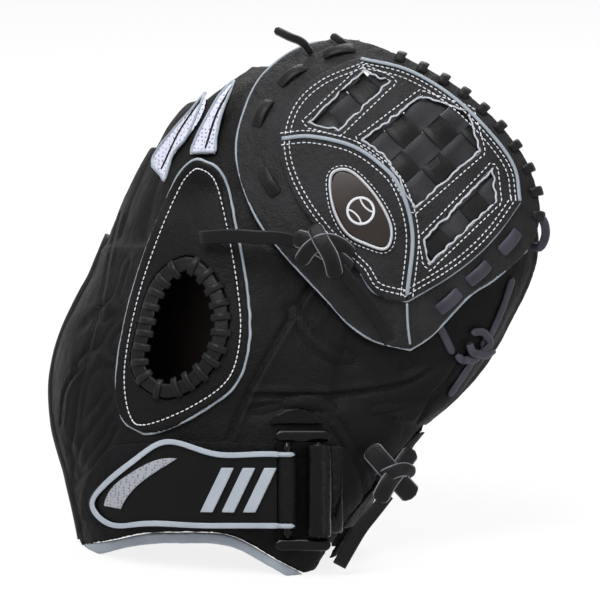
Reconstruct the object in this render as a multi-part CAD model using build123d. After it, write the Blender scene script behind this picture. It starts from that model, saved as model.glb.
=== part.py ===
"""Left-hand baseball glove with a basket web and a hook-and-loop wrist strap.

Lengths are millimetres.  The glove is drawn in a drafting frame first: u runs
to the right across the back of the hand, v runs up along the fingers and w
runs from the back of the hand towards the palm.  The glove leans back a
little when it stands on its heel, so every piece is tilted and moved into
the standing frame just before it is written.
"""

import os
from math import atan2, cos, degrees, hypot, radians, sin, sqrt, tan

from build123d import *

# ---- standing frame -------------------------------------------------------
LEAN = 12.0                       # the glove leans back this much on its heel
FOOT_U = -48.0                    # centre of the hand opening, across
FOOT_W = 54.0                     # centre of the hand opening, front to back

# ---- leather and fabric gauges --------------------------------------------
GAP = 0.3                         # clearance between stacked layers
BED = 1.7                         # clearance between broad sheets that lie on one another
SHELL = 2.4                       # shell leather
LINING = 1.3                      # lining leather
COLLAR = 3.0                      # padded wrist collar
PALM = 2.8                        # palm leather
PAD = 5.0                         # felt under the palm
HEEL_PAD = 7.0                    # felt in the heel
TRIM = 2.0                        # stitched trim leather
PIPING = 2.6                      # piping round the trim
MESH = 1.4                        # woven mesh insert
LACE = 2.2                        # lace gauge
LACE_WIDTH = 8.0                  # lace width

# ---- hand and fingers ------------------------------------------------------
KNUCKLE_V = 186.0                 # where the hand meets the finger stalls
STALL_DEPTH = 27.0                # from finger back to finger palm
STALL_DROP = 1.5                  # the stalls start this far under the hand back
VALLEY = 2.6                      # depth of the valleys between fingers
STALLS = {"pinky": (0.0, 0.22), "ring": (0.23, 0.43), "middle": (0.44, 0.65), "index": (0.66, 1.0)}
STALL_TIPS = {"pinky": 244.0, "ring": 270.0, "middle": 290.0, "index": 298.0}
STALL_RIGHT_U = -10.0             # thumb-side edge of the index stall at the knuckles

# ---- thumb hinge ------------------------------------------------------------
HINGE_U, HINGE_W, HINGE_V = 17.0, 50.0, 98.0
HINGE_TILT = 14.5                 # the hinge line leans towards the thumb
HINGE_GAP = 0.5                   # clearance on each side of the hinge plane
CLOSE_ANGLE = 25.0                # how far the thumb closes

# ---- web --------------------------------------------------------------------
WEB_U, WEB_W, WEB_V = 50.0, 164.0, 180.0
WEB_RADIUS = 168.0                # outer face of the web frame
WEB_LEATHER = 2.4                 # web leather
WEAVE = 1.6                       # woven straps of the basket
FLANGE_DEPTH = 2.7                # flange lies this far under the frame's outer face
LACE_LIFT = -2.5                  # laces on the flange start this far from that face
STRAP_ANGLE = 43.0                # angle of the cross straps
STRAP_PITCH = 15.0                # spacing of the woven straps
STRAP_GAP = 1.2                   # slot between woven straps
RIM_LACES = 10                    # lace loops along the top edge

# ---- finger hole -------------------------------------------------------------
HOLE_RIM = 8.0                    # width of the rolled rim
HOLE_LACES = 21                   # lace loops round the rim

# ---- wrist strap and buckle ----------------------------------------------------
BUCKLE_LEFT_U, BUCKLE_RIGHT_U, BUCKLE_W = -5.0, 12.5, -5.4
BUCKLE_LOW_V, BUCKLE_HIGH_V = 18.0, 79.0
BAR = 2.4                         # radius of the buckle bars
SLEEVE = 5.4                      # outer radius of the strap fold
KEEPER = 7.0                      # outer radius of the leather keeper
RUNNING = 0.4                     # clearance round the bars
STRAP_LOW, STRAP_HIGH = 27.0, 70.0
BAND = 2.6                        # wrist band under the strap
HOOK = 1.3                        # hook pad
STRAP_CORE = 1.8                  # strap leather
TAB = 1.5                         # moulded face of the strap tab
RELIEF = 1.6                      # raised rim and motif on the tab

COVER_ROWS = 7                    # hand rows that the finger cover shares
SECTION_STEP = 20.0               # spacing of the sections of each sheet
NEAR, FAR = -60.0, 230.0          # reach of the pattern cutters

# Sections of the back of the hand, left edge to right edge, as (u, w) at each v.
HAND_ROWS = {
    -14: [(-114, 60), (-104, 44), (-86, 30), (-60, 17), (-27, 6), (-6, 3), (4, 14)],
    0: [(-118, 64), (-108, 46), (-88, 30), (-60, 16), (-25, 5), (-2, 2), (10, 15)],
    50: [(-130, 75), (-118, 50), (-95, 27), (-60, 11), (-15, 3), (22, 9), (44, 28)],
    90: [(-141, 92), (-130, 62), (-104, 34), (-62, 12), (-10, 3), (42, 10), (76, 34)],
    130: [(-137, 104), (-128, 72), (-104, 40), (-62, 12), (0, 5), (62, 14), (104, 36)],
    186: [(-113, 119), (-107, 89), (-92, 55), (-64, 27), (-26, 18), (20, 17), (66, 22)],
}

# The finger backs carry on from the hand, up to the fingertips.
FINGER_ROWS = {
    230: [(-94, 132), (-93, 106), (-83, 77), (-66, 52), (-48, 39), (-30, 34), (-10, 36)],
    260: [(-76, 138), (-76, 114), (-69, 89), (-55, 67), (-38, 52), (-18, 45), (5, 45)],
    280: [(-58, 142), (-57, 121), (-50, 99), (-38, 79), (-20, 64), (0, 56), (23, 55)],
    298: [(-36, 147), (-35, 129), (-28, 112), (-16, 95), (0, 81), (17, 71), (35, 66)],
}

# The back of the thumb, from the hinge side to its outer edge.
THUMB_ROWS = {
    78: [(10, 6), (34, 9), (52, 15), (62, 24), (66, 36)],
    105: [(12, 6), (45, 10), (70, 16), (88, 26), (96, 42)],
    130: [(16, 7), (55, 12), (84, 17), (105, 29), (114, 47)],
    165: [(24, 13), (62, 16), (95, 20), (120, 30), (131, 48)],
    190: [(60, 20), (85, 18), (108, 21), (126, 31), (136, 47)],
    208: [(92, 24), (104, 22), (116, 24), (127, 32), (133, 44)],
}

# The pocket face of the thumb, from the hinge side to its outer edge.
THUMB_PALM_ROWS = {
    78: [(18, 46), (36, 52), (52, 54), (61, 52), (66, 45)],
    105: [(22, 47), (46, 54), (70, 60), (88, 61), (96, 54)],
    130: [(26, 49), (56, 60), (84, 66), (105, 67), (114, 58)],
    165: [(34, 54), (64, 64), (95, 70), (120, 70), (131, 60)],
    190: [(66, 62), (86, 66), (108, 69), (126, 67), (136, 58)],
    208: [(94, 60), (105, 62), (116, 62), (127, 60), (133, 54)],
}

# The palm face, left edge to right edge.
PALM_ROWS = {
    -4: [(-118, 76), (-108, 100), (-60, 112), (-14, 110), (14, 96), (24, 66), (18, 36)],
    20: [(-122, 78), (-110, 101), (-64, 111), (-16, 107), (20, 92), (34, 64), (27, 40)],
    50: [(-128, 84), (-113, 105), (-70, 104), (-25, 95), (17, 82), (44, 62), (48, 44)],
    90: [(-138, 101), (-118, 112), (-80, 98), (-40, 78), (4, 62), (46, 58), (78, 52)],
    130: [(-134, 113), (-112, 113), (-80, 90), (-45, 62), (0, 48), (40, 50), (80, 60)],
    186: [(-110, 130), (-92, 124), (-74, 98), (-54, 70), (-28, 54), (5, 50), (40, 52)],
}

# ---- pattern outlines, as (u, v) ------------------------------------------------
HOLE_OUTLINE = [(-60, 171), (-49, 157), (-47, 135), (-56, 118), (-75, 108), (-85, 117),
                (-83, 135), (-77, 157), (-69, 168)]
PAD_OUTLINE = [(-55, 234), (-43, 226), (-36, 203), (-29, 165), (-27, 135), (-34, 109), (-55, 92),
               (-85, 80), (-98, 87), (-102, 115), (-95, 155), (-84, 189), (-72, 218), (-64, 230)]
INDEX_INSERT = [[(-35, 282), (-44, 274), (-52, 260), (-58, 248), (-61, 238)], [(-61, 238), (-46, 238)],
                [(-46, 238), (-45, 247), (-42, 261), (-35, 282)]]
MIDDLE_INSERT = [[(-52, 275), (-62, 264), (-71, 254), (-82, 240), (-84, 232)], [(-84, 232), (-75, 222)],
                 [(-75, 222), (-70, 238), (-61, 250), (-52, 275)]]
WRIST_LINE = [(-124, 15), (-110, 17), (-90, 22), (-62, 24), (-36, 22), (-18, 13), (6, 0), (14, -4)]
BINDING_DROP = 6.0                # height of the wrist binding
TAB_OUTLINE = [[(-8, 70), (-45, 70)], [(-45, 70), (-58, 74), (-74, 77), (-90, 68), (-113, 49)],
               [(-113, 49), (-118, 40), (-107, 27)], [(-107, 27), (-8, 27)], [(-8, 27), (-8, 70)]]
TAB_RIM = 3.0                     # width of the raised rim of the tab
TAB_RIM_LINE = [(-8, 68.4), (-28, 68.4), (-45, 68.6), (-58, 72.2), (-74, 75.2), (-89, 66.6), (-111, 48),
                (-115.8, 39.6), (-106.5, 28.6), (-90, 28.6), (-60, 28.6), (-30, 28.6), (-8, 28.6)]
INLAY_OUTLINE = [[(-109, 38.5), (-105, 48), (-92, 58.5), (-79, 65), (-67, 66)],
                 [(-67, 66), (-78, 59), (-92, 48), (-99, 37)], [(-99, 37), (-109, 38.5)]]
PILE_OUTLINE = [[(-12, 74), (-66, 75), (-102, 73)], [(-102, 73), (-117, 58), (-123, 30)],
                [(-123, 30), (-104, 24), (-60, 26), (-12, 24)], [(-12, 24), (-12, 74)]]
FLANGE_EDGE = [[(36, 303), (6, 301), (-18, 285), (-30, 262), (-34, 236), (-24, 204), (-8, 182), (18, 154)],
               [(18, 154), (30, 141), (44, 132), (64, 127)],
               [(64, 127), (77, 136), (97, 157), (112, 167), (131, 184)],
               [(131, 184), (138, 205), (132, 230), (116, 254), (92, 276), (62, 293), (36, 303)]]
BORDER = [[(37, 293), (12, 282), (-4, 266), (-10, 243), (-4, 219), (12, 194), (36, 170)],
          [(36, 170), (44, 159), (62, 154)],
          [(62, 154), (84, 167), (99, 178), (113, 192), (127, 211)],
          [(127, 211), (124, 230), (112, 248), (90, 270), (64, 286), (37, 293)]]
WINDOW_TOP = [(6, 255), (24, 250), (54, 279), (38, 286)]
WINDOW_MIDDLE = [(36, 245), (50, 235), (66, 206), (104, 239), (98, 262), (70, 271)]
WINDOW_LOW = [(71, 189), (74, 174), (113, 211), (111, 230)]
BADGE_BAND = [(-8, 246), (8, 247), (30, 242), (46, 232), (58, 218), (65, 192), (62, 158)]
BADGE_OUTLINE = [(20, 222), (24, 227), (32, 225), (44, 212), (52, 196), (50, 185), (40, 187),
                 (29, 193), (22, 206)]

# Loose lace ends as (u, w, v): points of each route, from the knot to its tip.
TAIL_ROUTES = {
    "knot_tail_left": [(2, -2.6, 187), (-8, -1.4, 190.2), (-21, 1.0, 190), (-38, 6.5, 191.5),
                       (-54, 13.5, 190)],
    "knot_tail_low": [(26.5, -7.4, 170), (33, -8.2, 162), (39.5, -8.6, 154), (47, -7.6, 143),
                      (53, -4.6, 131)],
    "thumb_knot_tail": [(48, -0.4, 41.5), (43.3, -1.8, 35.5), (37.5, -1.8, 29), (31, -1.0, 18.5),
                        (25, 1.2, 8)],
}


# ---- frame helpers ---------------------------------------------------------------
def standing(shape):
    """Tilt a piece from the drafting frame into the standing frame."""
    return Pos(-FOOT_U, -FOOT_W, 0) * Rot(X=-LEAN) * shape


def catmull(a, b, c, d, f):
    """Smooth step from b to c, with a and d as the neighbours."""
    return 0.5 * (2 * b + (c - a) * f + (2 * a - 5 * b + 4 * c - d) * f * f
                  + (3 * b - 3 * c + d - a) * f ** 3)


def row_at(rows, v):
    """Section points at height v, interpolated between the drawn rows."""
    heights = sorted(rows)
    index = max(i for i in range(len(heights) - 1) if heights[i] <= v or i == 0)
    low, high = heights[index], heights[index + 1]
    before = heights[max(index - 1, 0)]
    after = heights[min(index + 2, len(heights) - 1)]
    part = (v - low) / (high - low)
    points = []
    for a, b, c, d in zip(rows[before], rows[low], rows[high], rows[after]):
        points.append(tuple(catmull(a[k], b[k], c[k], d[k], part) for k in (0, 1)))
    return points


def heights_between(v0, v1):
    """Section heights from v0 to v1, on an even grid that all the sheets share."""
    steps = range(int(v0 // SECTION_STEP), int(v1 // SECTION_STEP) + 1)
    inside = [step * SECTION_STEP for step in steps if v0 + 5 < step * SECTION_STEP < v1 - 5]
    return [v0] + inside + [v1]


def offset_line(path, v, t0, t1, depth, relief, count=13):
    """Points along a section at a depth below its surface."""
    points = []
    for i in range(count):
        part = i / (count - 1)
        t = t0 + (t1 - t0) * part
        at, along = path @ t, path % t
        length = hypot(along.X, along.Y)
        sink = depth + relief * (2 * part - 1) ** 4
        points.append(Vector(at.X - along.Y / length * sink, at.Y + along.X / length * sink, v))
    return points


def layer(rows, v0, v1, near, far, t0=0.0, t1=1.0, relief=0.0):
    """Solid sheet that follows the rows, between two depths below the surface."""
    faces = []
    for v in heights_between(v0, v1):
        path = Spline(*[(u, w, v) for u, w in row_at(rows, v)])
        outer = offset_line(path, v, t0, t1, near, relief)
        inner = offset_line(path, v, t0, t1, far, relief)
        inner.reverse()
        edges = [Spline(*outer), Line(outer[-1], inner[0]), Spline(*inner), Line(inner[-1], outer[0])]
        faces.append(make_face(edges))
    return loft(faces)


def flat_edges(runs):
    """Edges in the pattern plane, one smooth run after another."""
    edges = []
    for run in runs:
        points = [(u, NEAR, v) for u, v in run]
        edges.append(Line(*points) if len(points) == 2 else Spline(*points))
    return edges


def cutter(edges):
    """Solid that reaches through the glove behind a closed pattern outline."""
    return extrude(make_face(edges), amount=FAR - NEAR, dir=(0, 1, 0))


def runs_cutter(runs):
    return cutter(flat_edges(runs))


def ring_cutter(points):
    return cutter([Spline(*[(u, NEAR, v) for u, v in points], periodic=True)])


def polygon_cutter(points):
    return cutter(Polyline(*[(u, NEAR, v) for u, v in points], close=True).edges())


def grown(points, amount):
    """Closed smooth outline moved outwards by an amount."""
    count = len(points)
    area = sum(points[i - 1][0] * points[i][1] - points[i][0] * points[i - 1][1] for i in range(count))
    side = 1 if area > 0 else -1
    moved = []
    for i in range(count):
        (u0, v0), (u1, v1) = points[i - 1], points[(i + 1) % count]
        length = hypot(u1 - u0, v1 - v0)
        u, v = points[i]
        moved.append((u + side * (v1 - v0) / length * amount, v - side * (u1 - u0) / length * amount))
    return moved


def web_layer(near, far):
    """Domed sheet of the web between two depths below its outer face."""
    centre = Pos(WEB_U, WEB_W, WEB_V)
    return centre * Sphere(WEB_RADIUS - near) - centre * Sphere(WEB_RADIUS - far)


def web_point(u, v, lift=0.0):
    """Point on the outer face of the web, lifted outwards."""
    reach = WEB_RADIUS + lift
    return Vector(u, WEB_W - sqrt(reach ** 2 - (u - WEB_U) ** 2 - (v - WEB_V) ** 2), v)


def web_block(u, v, angle, length, width, thick, lift):
    """Small block lying on the web, turned by an angle in the pattern plane."""
    at = web_point(u, v, lift + thick / 2)
    out = (at - Vector(WEB_U, WEB_W, WEB_V)).normalized()
    along = Vector(cos(radians(angle)), 0, sin(radians(angle)))
    along = (along - out * along.dot(out)).normalized()
    return Plane(origin=at, x_dir=along, z_dir=out) * Box(length, width, thick)


def block_between(a, b, width, thick):
    """Flat lace run from one point to another."""
    a, b = Vector(*a), Vector(*b)
    middle = (a + b) * 0.5
    along = (b - a).normalized()
    side = along.cross(Vector(0, 1, 0)).normalized()
    return Plane(origin=middle, x_dir=along, z_dir=along.cross(side)) * Box((b - a).length, width, thick)


# ---- hinge helpers ------------------------------------------------------------------
def hinge_plane():
    """Plane whose origin and z axis lie on the hinge, and whose x axis points to the thumb."""
    up = Vector(sin(radians(HINGE_TILT)), 0, cos(radians(HINGE_TILT)))
    right = Vector(cos(radians(HINGE_TILT)), 0, -sin(radians(HINGE_TILT)))
    return Plane(origin=(HINGE_U, HINGE_W, HINGE_V), x_dir=right, z_dir=up)


def thumb_zone(margin):
    """Region swept clear for the thumb: right of the hinge plane and above its foot."""
    size = 400.0
    zone = Pos(size / 2 + margin, 0, size / 2 + margin) * Box(size, size, size)
    return hinge_plane() * zone


def thumb_relief():
    """Wedge on the palm side that the closing thumb must leave free."""
    reach = 120.0
    spread = reach * tan(radians(CLOSE_ANGLE + 3))
    outline = Polyline((-60, 0.0), (HINGE_GAP, 0.0), (HINGE_GAP + spread, reach), (-60, reach), close=True)
    wedge = extrude(make_face(outline.edges()), amount=300, both=True)
    return hinge_plane() * wedge


def hand_side(shape):
    """Part of a sheet that stays with the hand."""
    return shape - thumb_zone(-HINGE_GAP)


def thumb_side(shape):
    """Part of a sheet that swings with the thumb."""
    return (shape & thumb_zone(HINGE_GAP)) - thumb_relief()


# ---- hand ------------------------------------------------------------------------------
def wrist_cut(drop):
    """Cutter for everything below the arched wrist line."""
    line = [(u, v - drop) for u, v in WRIST_LINE]
    (first_u, first_v), (last_u, last_v) = line[0], line[-1]
    low, left, right = -60, -170, 60
    runs = [[(left, first_v), (first_u, first_v)], line, [(last_u, last_v), (right, last_v - 12)],
            [(right, last_v - 12), (right, low)], [(right, low), (left, low)], [(left, low), (left, first_v)]]
    return runs_cutter(runs)


def above_floor(shape):
    """Cut a piece off level with the surface that the glove stands on."""
    size = 600.0
    return shape - Rot(X=LEAN) * Pos(0, 0, -size / 2) * Box(size, size, size)


def palm_sheet(near, far, low, high, t0=0.0, t1=1.0):
    """Sheet of the palm at a depth measured from the pocket face towards the hand."""
    return hand_side(above_floor(layer(PALM_ROWS, low, high, -far, -near, t0, t1)))


def edge_strip(back, palm, place, side, v0, v1):
    """Welt that closes an edge between the back rows and the palm rows."""
    faces = []
    for v in heights_between(v0, v1):
        a = Vector(*row_at(back, v)[place], v)
        b = Vector(*row_at(palm, v)[place], v)
        along = (b - a).normalized()
        across = Vector(along.Y, -along.X, 0) * side
        a, b = a + along * (2 * GAP), b - along * (2 * GAP)
        faces.append(make_face(Polyline(a, b, b + across * SHELL, a + across * SHELL, close=True).edges()))
    return loft(faces)


def make_hand():
    """Shell, linings, palm and padding of the hand."""
    opening = ring_cutter(grown(HOLE_OUTLINE, HOLE_RIM - 2))
    low, top = -14, KNUCKLE_V - GAP
    lined, inner = SHELL + BED, SHELL + BED + LINING
    back = hand_side(layer(HAND_ROWS, low, top, 0, SHELL)) - wrist_cut(0)
    lining = hand_side(layer(HAND_ROWS, low, top, lined, inner)) - wrist_cut(0)
    collar = hand_side(layer(HAND_ROWS, low, 58, inner + BED, inner + BED + COLLAR)) - wrist_cut(0)
    binding = hand_side(layer(HAND_ROWS, low, 34, -1, inner + 1)) & (wrist_cut(GAP) - wrist_cut(BINDING_DROP))
    pad_top = 60.0
    under_pad = PALM + 2 * BED + PAD
    return {
        "hand_back": above_floor(back) - opening,
        "hand_lining": above_floor(lining) - opening,
        "wrist_collar": above_floor(collar),
        "wrist_binding": above_floor(binding),
        "palm_leather": palm_sheet(0, PALM, -4, top),
        "palm_pad": palm_sheet(PALM + BED, PALM + BED + PAD, pad_top, top, 0.04, 0.97),
        "palm_lining": palm_sheet(under_pad, under_pad + LINING, pad_top, top, 0.06, 0.96),
        "heel_pad": palm_sheet(PALM + BED, PALM + BED + HEEL_PAD, -4, pad_top - 1, 0.03, 0.88),
        "hand_edge_welt": above_floor(edge_strip(HAND_ROWS, PALM_ROWS, 0, -1, 4, top)),
    }


def ribbon(points, width):
    """Cutter for a ribbon of even width along an open line."""
    left, right = [], []
    for i, (u, v) in enumerate(points):
        (u0, v0), (u1, v1) = points[max(i - 1, 0)], points[min(i + 1, len(points) - 1)]
        length = hypot(u1 - u0, v1 - v0)
        du, dv = -(v1 - v0) / length * width / 2, (u1 - u0) / length * width / 2
        left.append((u + du, v + dv))
        right.append((u - du, v - dv))
    right.reverse()
    return runs_cutter([left, [left[-1], right[0]], right, [right[-1], left[0]]])


def finger_rows():
    """Rows of the left of the hand back and the finger backs, in one table."""
    rows = dict(FINGER_ROWS)
    for step in range(COVER_ROWS):
        v = KNUCKLE_V - step * SECTION_STEP
        path = Spline(*[(u, w, 0) for u, w in row_at(HAND_ROWS, v)])
        end = 0.5
        while (path @ end).X < STALL_RIGHT_U:
            end += 0.002
        rows[v] = [((path @ (end * i / 6)).X, (path @ (end * i / 6)).Y) for i in range(7)]
    return rows


def make_finger_hole():
    """Trim pad, rolled rim, lacing and piping round the finger hole."""
    hole = ring_cutter(HOLE_OUTLINE)
    rim_edge = ring_cutter(grown(HOLE_OUTLINE, HOLE_RIM))
    rim_inside = ring_cutter(grown(HOLE_OUTLINE, HOLE_RIM - 2 - GAP))
    inner = SHELL + BED + LINING + 1
    collar = layer(HAND_ROWS, 70, KNUCKLE_V - GAP, -TRIM - 3 * GAP - 1.6, -2 * GAP, 0, 0.8)
    roll = layer(HAND_ROWS, 70, KNUCKLE_V - GAP, -2 * GAP - 1, inner, 0, 0.8)
    rows = finger_rows()
    cover = layer(rows, 68, 242, -TRIM - 2 * GAP, -2 * GAP)
    edge = layer(rows, 68, 242, -PIPING - 2 * GAP, -2 * GAP)
    outline = ring_cutter(PAD_OUTLINE)
    piping = ring_cutter(grown(PAD_OUTLINE, GAP + 1.6)) - ring_cutter(grown(PAD_OUTLINE, GAP))
    rim_top = TRIM + 3 * GAP + 1.6
    laces = []
    path = Spline(*[(u, 0, v) for u, v in grown(HOLE_OUTLINE, HOLE_RIM / 2)], periodic=True)
    for i in range(HOLE_LACES):
        at, along = path @ (i / HOLE_LACES), path % (i / HOLE_LACES)
        laces.append(back_block(at.X, at.Z, Vector(-along.Z, 0, along.X), HOLE_RIM, 4.2, LACE, rim_top + GAP))
    return {
        "finger_hole_rim": ((collar & rim_edge) + (roll & rim_inside)) - hole,
        "finger_hole_pad": (cover & outline) - ring_cutter(grown(HOLE_OUTLINE, HOLE_RIM + GAP)),
        "finger_hole_piping": edge & piping,
        "finger_hole_lacing": laces,
    }


def back_block(u, v, along, length, width, thick, lift):
    """Small block lying over the back of the hand at a lift above the leather."""
    step = 3.0
    slope_u = (depth_at(u + step, v) - depth_at(u - step, v)) / (2 * step)
    slope_v = (depth_at(u, v + step) - depth_at(u, v - step)) / (2 * step)
    out = Vector(slope_u, -1, slope_v).normalized()
    at = Vector(u, depth_at(u, v), v) + out * (lift + thick / 2)
    along = (along - out * along.dot(out)).normalized()
    return Plane(origin=at, x_dir=along, z_dir=out) * Box(length, width, thick)


def depth_at(u, v):
    """Depth of the hand back under a point of the pattern."""
    path = Spline(*[(a, b, 0) for a, b in row_at(HAND_ROWS, v)])
    low, high = 0.0, 1.0
    for _ in range(30):
        middle = (low + high) / 2
        if (path @ middle).X < u:
            low = middle
        else:
            high = middle
    return (path @ low).Y


# ---- fingers -----------------------------------------------------------------------------
def make_fingers():
    """Back and palm of each finger stall, the walls between them and the tip caps."""
    rows = finger_rows()
    nodes, walls, caps = {}, [], []
    foot = KNUCKLE_V + GAP
    inside = STALL_DROP + SHELL + VALLEY + GAP
    for name, (t0, t1) in STALLS.items():
        tip = STALL_TIPS[name]
        nodes[name + "_back"] = layer(rows, foot, tip, STALL_DROP, STALL_DROP + SHELL, t0, t1, VALLEY)
        nodes[name + "_palm"] = layer(rows, foot, tip, STALL_DEPTH, STALL_DEPTH + SHELL, t0, t1)
        caps.append(layer(rows, tip - 3, tip, inside, STALL_DEPTH - 2.4, t0 + 0.06, t1 - 0.05))
        walls.append(layer(rows, foot, tip, inside, STALL_DEPTH - 1.6, t0, t0 + 0.008))
    walls.append(layer(rows, foot, STALL_TIPS["index"], inside, STALL_DEPTH - 1.6, 0.99, 1.0))
    web_side = web_zone(FLANGE_DEPTH + WEB_LEATHER + GAP)
    nodes["index_back"] = nodes["index_back"] - web_side
    nodes["finger_walls"] = [wall - web_side for wall in walls]
    nodes["fingertip_caps"] = [cap - web_side for cap in caps]
    over = STALL_DROP - 2 * GAP
    nodes["mesh_insert_index"] = layer(rows, 226, 288, over - MESH, over) & runs_cutter(INDEX_INSERT)
    nodes["mesh_insert_middle"] = layer(rows, 216, 282, over - MESH, over) & runs_cutter(MIDDLE_INSERT)
    return nodes


# ---- thumb ---------------------------------------------------------------------------------
def make_thumb():
    """Shell, lining, padding and palm of the thumb, which swings as one piece."""
    low, top = 78, 208
    web_side = web_zone(FLANGE_DEPTH + WEB_LEATHER + GAP)
    lined = SHELL + BED
    sheets = {
        "thumb_back": (THUMB_ROWS, 0, SHELL, 0.0, 1.0, top),
        "thumb_lining": (THUMB_ROWS, lined, lined + LINING, 0.0, 0.97, top),
        "thumb_palm": (THUMB_PALM_ROWS, -PALM, 0, 0.0, 1.0, top),
        "thumb_pad": (THUMB_PALM_ROWS, -PALM - BED - PAD, -PALM - BED, 0.2, 0.93, top - 3),
    }
    nodes = {}
    for name, (rows, near, far, t0, t1, end) in sheets.items():
        nodes[name] = thumb_side(layer(rows, low, end, near, far, t0, t1)) - web_side
    wall = edge_strip(THUMB_ROWS, THUMB_PALM_ROWS, -1, 1, low, top)
    nodes["thumb_edge_wall"] = thumb_side(wall) - web_side
    corners = [(98, 35), (106, 32), (117, 32), (124, 38), (125, 49), (116, 53), (102, 50)]
    lid = [Vector(u, w, top) for u, w in corners]
    nodes["thumb_tip_cap"] = extrude(make_face(Polyline(*lid, close=True).edges()), amount=-2.0, dir=(0, 0, 1))
    return nodes


# ---- web -------------------------------------------------------------------------------------
def web_zone(depth):
    """Space kept for the web and its flange in front of the stalls."""
    return web_layer(-12, depth) & runs_cutter([[spread(point, 1.0) for point in run] for run in FLANGE_EDGE])


def spread(point, amount):
    """Pattern point moved away from the middle of the web."""
    u, v = point
    reach = hypot(u - WEB_U, v - WEB_V - 30)
    return (u + (u - WEB_U) / reach * amount, v + (v - WEB_V - 30) / reach * amount)


def shrunk_border(amount):
    """Cutter for the web border drawn inwards."""
    return runs_cutter([[spread(point, -amount) for point in run] for run in BORDER])


def woven_straps(region, angle, near):
    """Woven straps of the basket at one angle, as separate solids."""
    sheet = web_layer(near, near + WEAVE) & region
    straps = []
    for i in range(-4, 5):
        place = Pos(70, 60, 228) * Rot(Y=-angle) * Pos(0, 0, (i + 0.5) * STRAP_PITCH)
        piece = sheet & (place * Box(220, 300, STRAP_PITCH - STRAP_GAP))
        straps += [solid for solid in piece.solids() if solid.volume > 60]
    return straps


def make_web():
    """Frame, flange, badge panel and basket weave of the web."""
    border = runs_cutter(BORDER)
    lower = [BADGE_BAND, [(62, 158), (62, 100)], [(62, 100), (-60, 100)], [(-60, 100), (-60, 246)],
             [(-60, 246), (-8, 246)]]
    panel_zone = runs_cutter(lower)
    windows = [polygon_cutter(points) for points in (WINDOW_TOP, WINDOW_MIDDLE, WINDOW_LOW)]
    face = web_layer(0, WEB_LEATHER) & border
    frame = face - panel_zone
    for window in windows:
        frame = frame - window
    flange = web_layer(FLANGE_DEPTH, FLANGE_DEPTH + WEB_LEATHER) & runs_cutter(FLANGE_EDGE)
    region = shrunk_border(5.5) - panel_zone
    badge = ring_cutter(BADGE_OUTLINE)
    return {
        "web_frame": frame,
        "web_badge_panel": (face & panel_zone),
        "web_flange": flange - shrunk_border(5.0),
        "web_cross_straps": woven_straps(region, STRAP_ANGLE, FLANGE_DEPTH + GAP),
        "web_long_straps": woven_straps(region, STRAP_ANGLE + 90, FLANGE_DEPTH + 2 * GAP + WEAVE),
        "web_badge": web_layer(-GAP - 1.5, -GAP) & badge,
        "web_badge_rim": (web_layer(-GAP - 2.4, -GAP) & ring_cutter(grown(BADGE_OUTLINE, 3))) -
                         ring_cutter(grown(BADGE_OUTLINE, 0.2)),
        "web_band_piping": web_layer(-GAP - 1.3, -GAP) & ribbon(BADGE_BAND, 3),
        "web_top_piping": web_layer(-GAP - 1.3, -GAP) & ribbon([spread(p, -2) for p in BORDER[3]], 2.5),
    }


def make_web_laces():
    """Lace runs that hold the web to the index finger and the thumb."""
    rim = Spline(*[(u, 0, v) for u, v in FLANGE_EDGE[3]])
    teeth = []
    for i in range(RIM_LACES):
        at, along = rim @ (0.12 + 0.74 * i / (RIM_LACES - 1)), rim % (0.12 + 0.74 * i / (RIM_LACES - 1))
        u, v = spread((at.X, at.Z), -1.5)
        turn = degrees(atan2(along.Z, along.X)) + 90
        teeth.append(web_block(u, v, turn, 6, 5.5, LACE, LACE_LIFT))
    index_runs = [(-20, 262, 62, 16), (-3, 284, 35, 14), (24, 298, 12, 12), (-16, 222, -60, 14)]
    thumb_runs = [(121, 188, 50, 14), (103, 170, 42, 14), (86, 154, 42, 14)]
    pile = LACE + GAP
    first = LACE_LIFT + WEB_LEATHER + 2 * GAP + 2.6
    knot = [web_block(15, 181, 20, 25, 11, LACE, first), web_block(14, 180, 75, 20, 10, LACE, first + pile),
            web_block(19, 178, -50, 20, 9, LACE, first + 2 * pile)]
    return {
        "web_rim_lacing": teeth,
        "index_web_lace": [web_block(u, v, turn, size, LACE_WIDTH, LACE, LACE_LIFT)
                           for u, v, turn, size in index_runs],
        "thumb_web_lace": [web_block(u, v, turn, size, LACE_WIDTH, LACE, LACE_LIFT)
                           for u, v, turn, size in thumb_runs],
        "web_knot": knot,
    }


# ---- wrist strap -----------------------------------------------------------------------------
def bar(u, radius, low, high):
    """Upright round bar of the buckle or of what turns on it."""
    return Pos(u, BUCKLE_W, (low + high) / 2) * Cylinder(radius, high - low)


def strap_sheet(start, thick, cut):
    """Sheet of the strap lying over the wrist."""
    return layer(HAND_ROWS, 14, 96, -start - thick, -start, 0.0, 0.8) & cut


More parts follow.
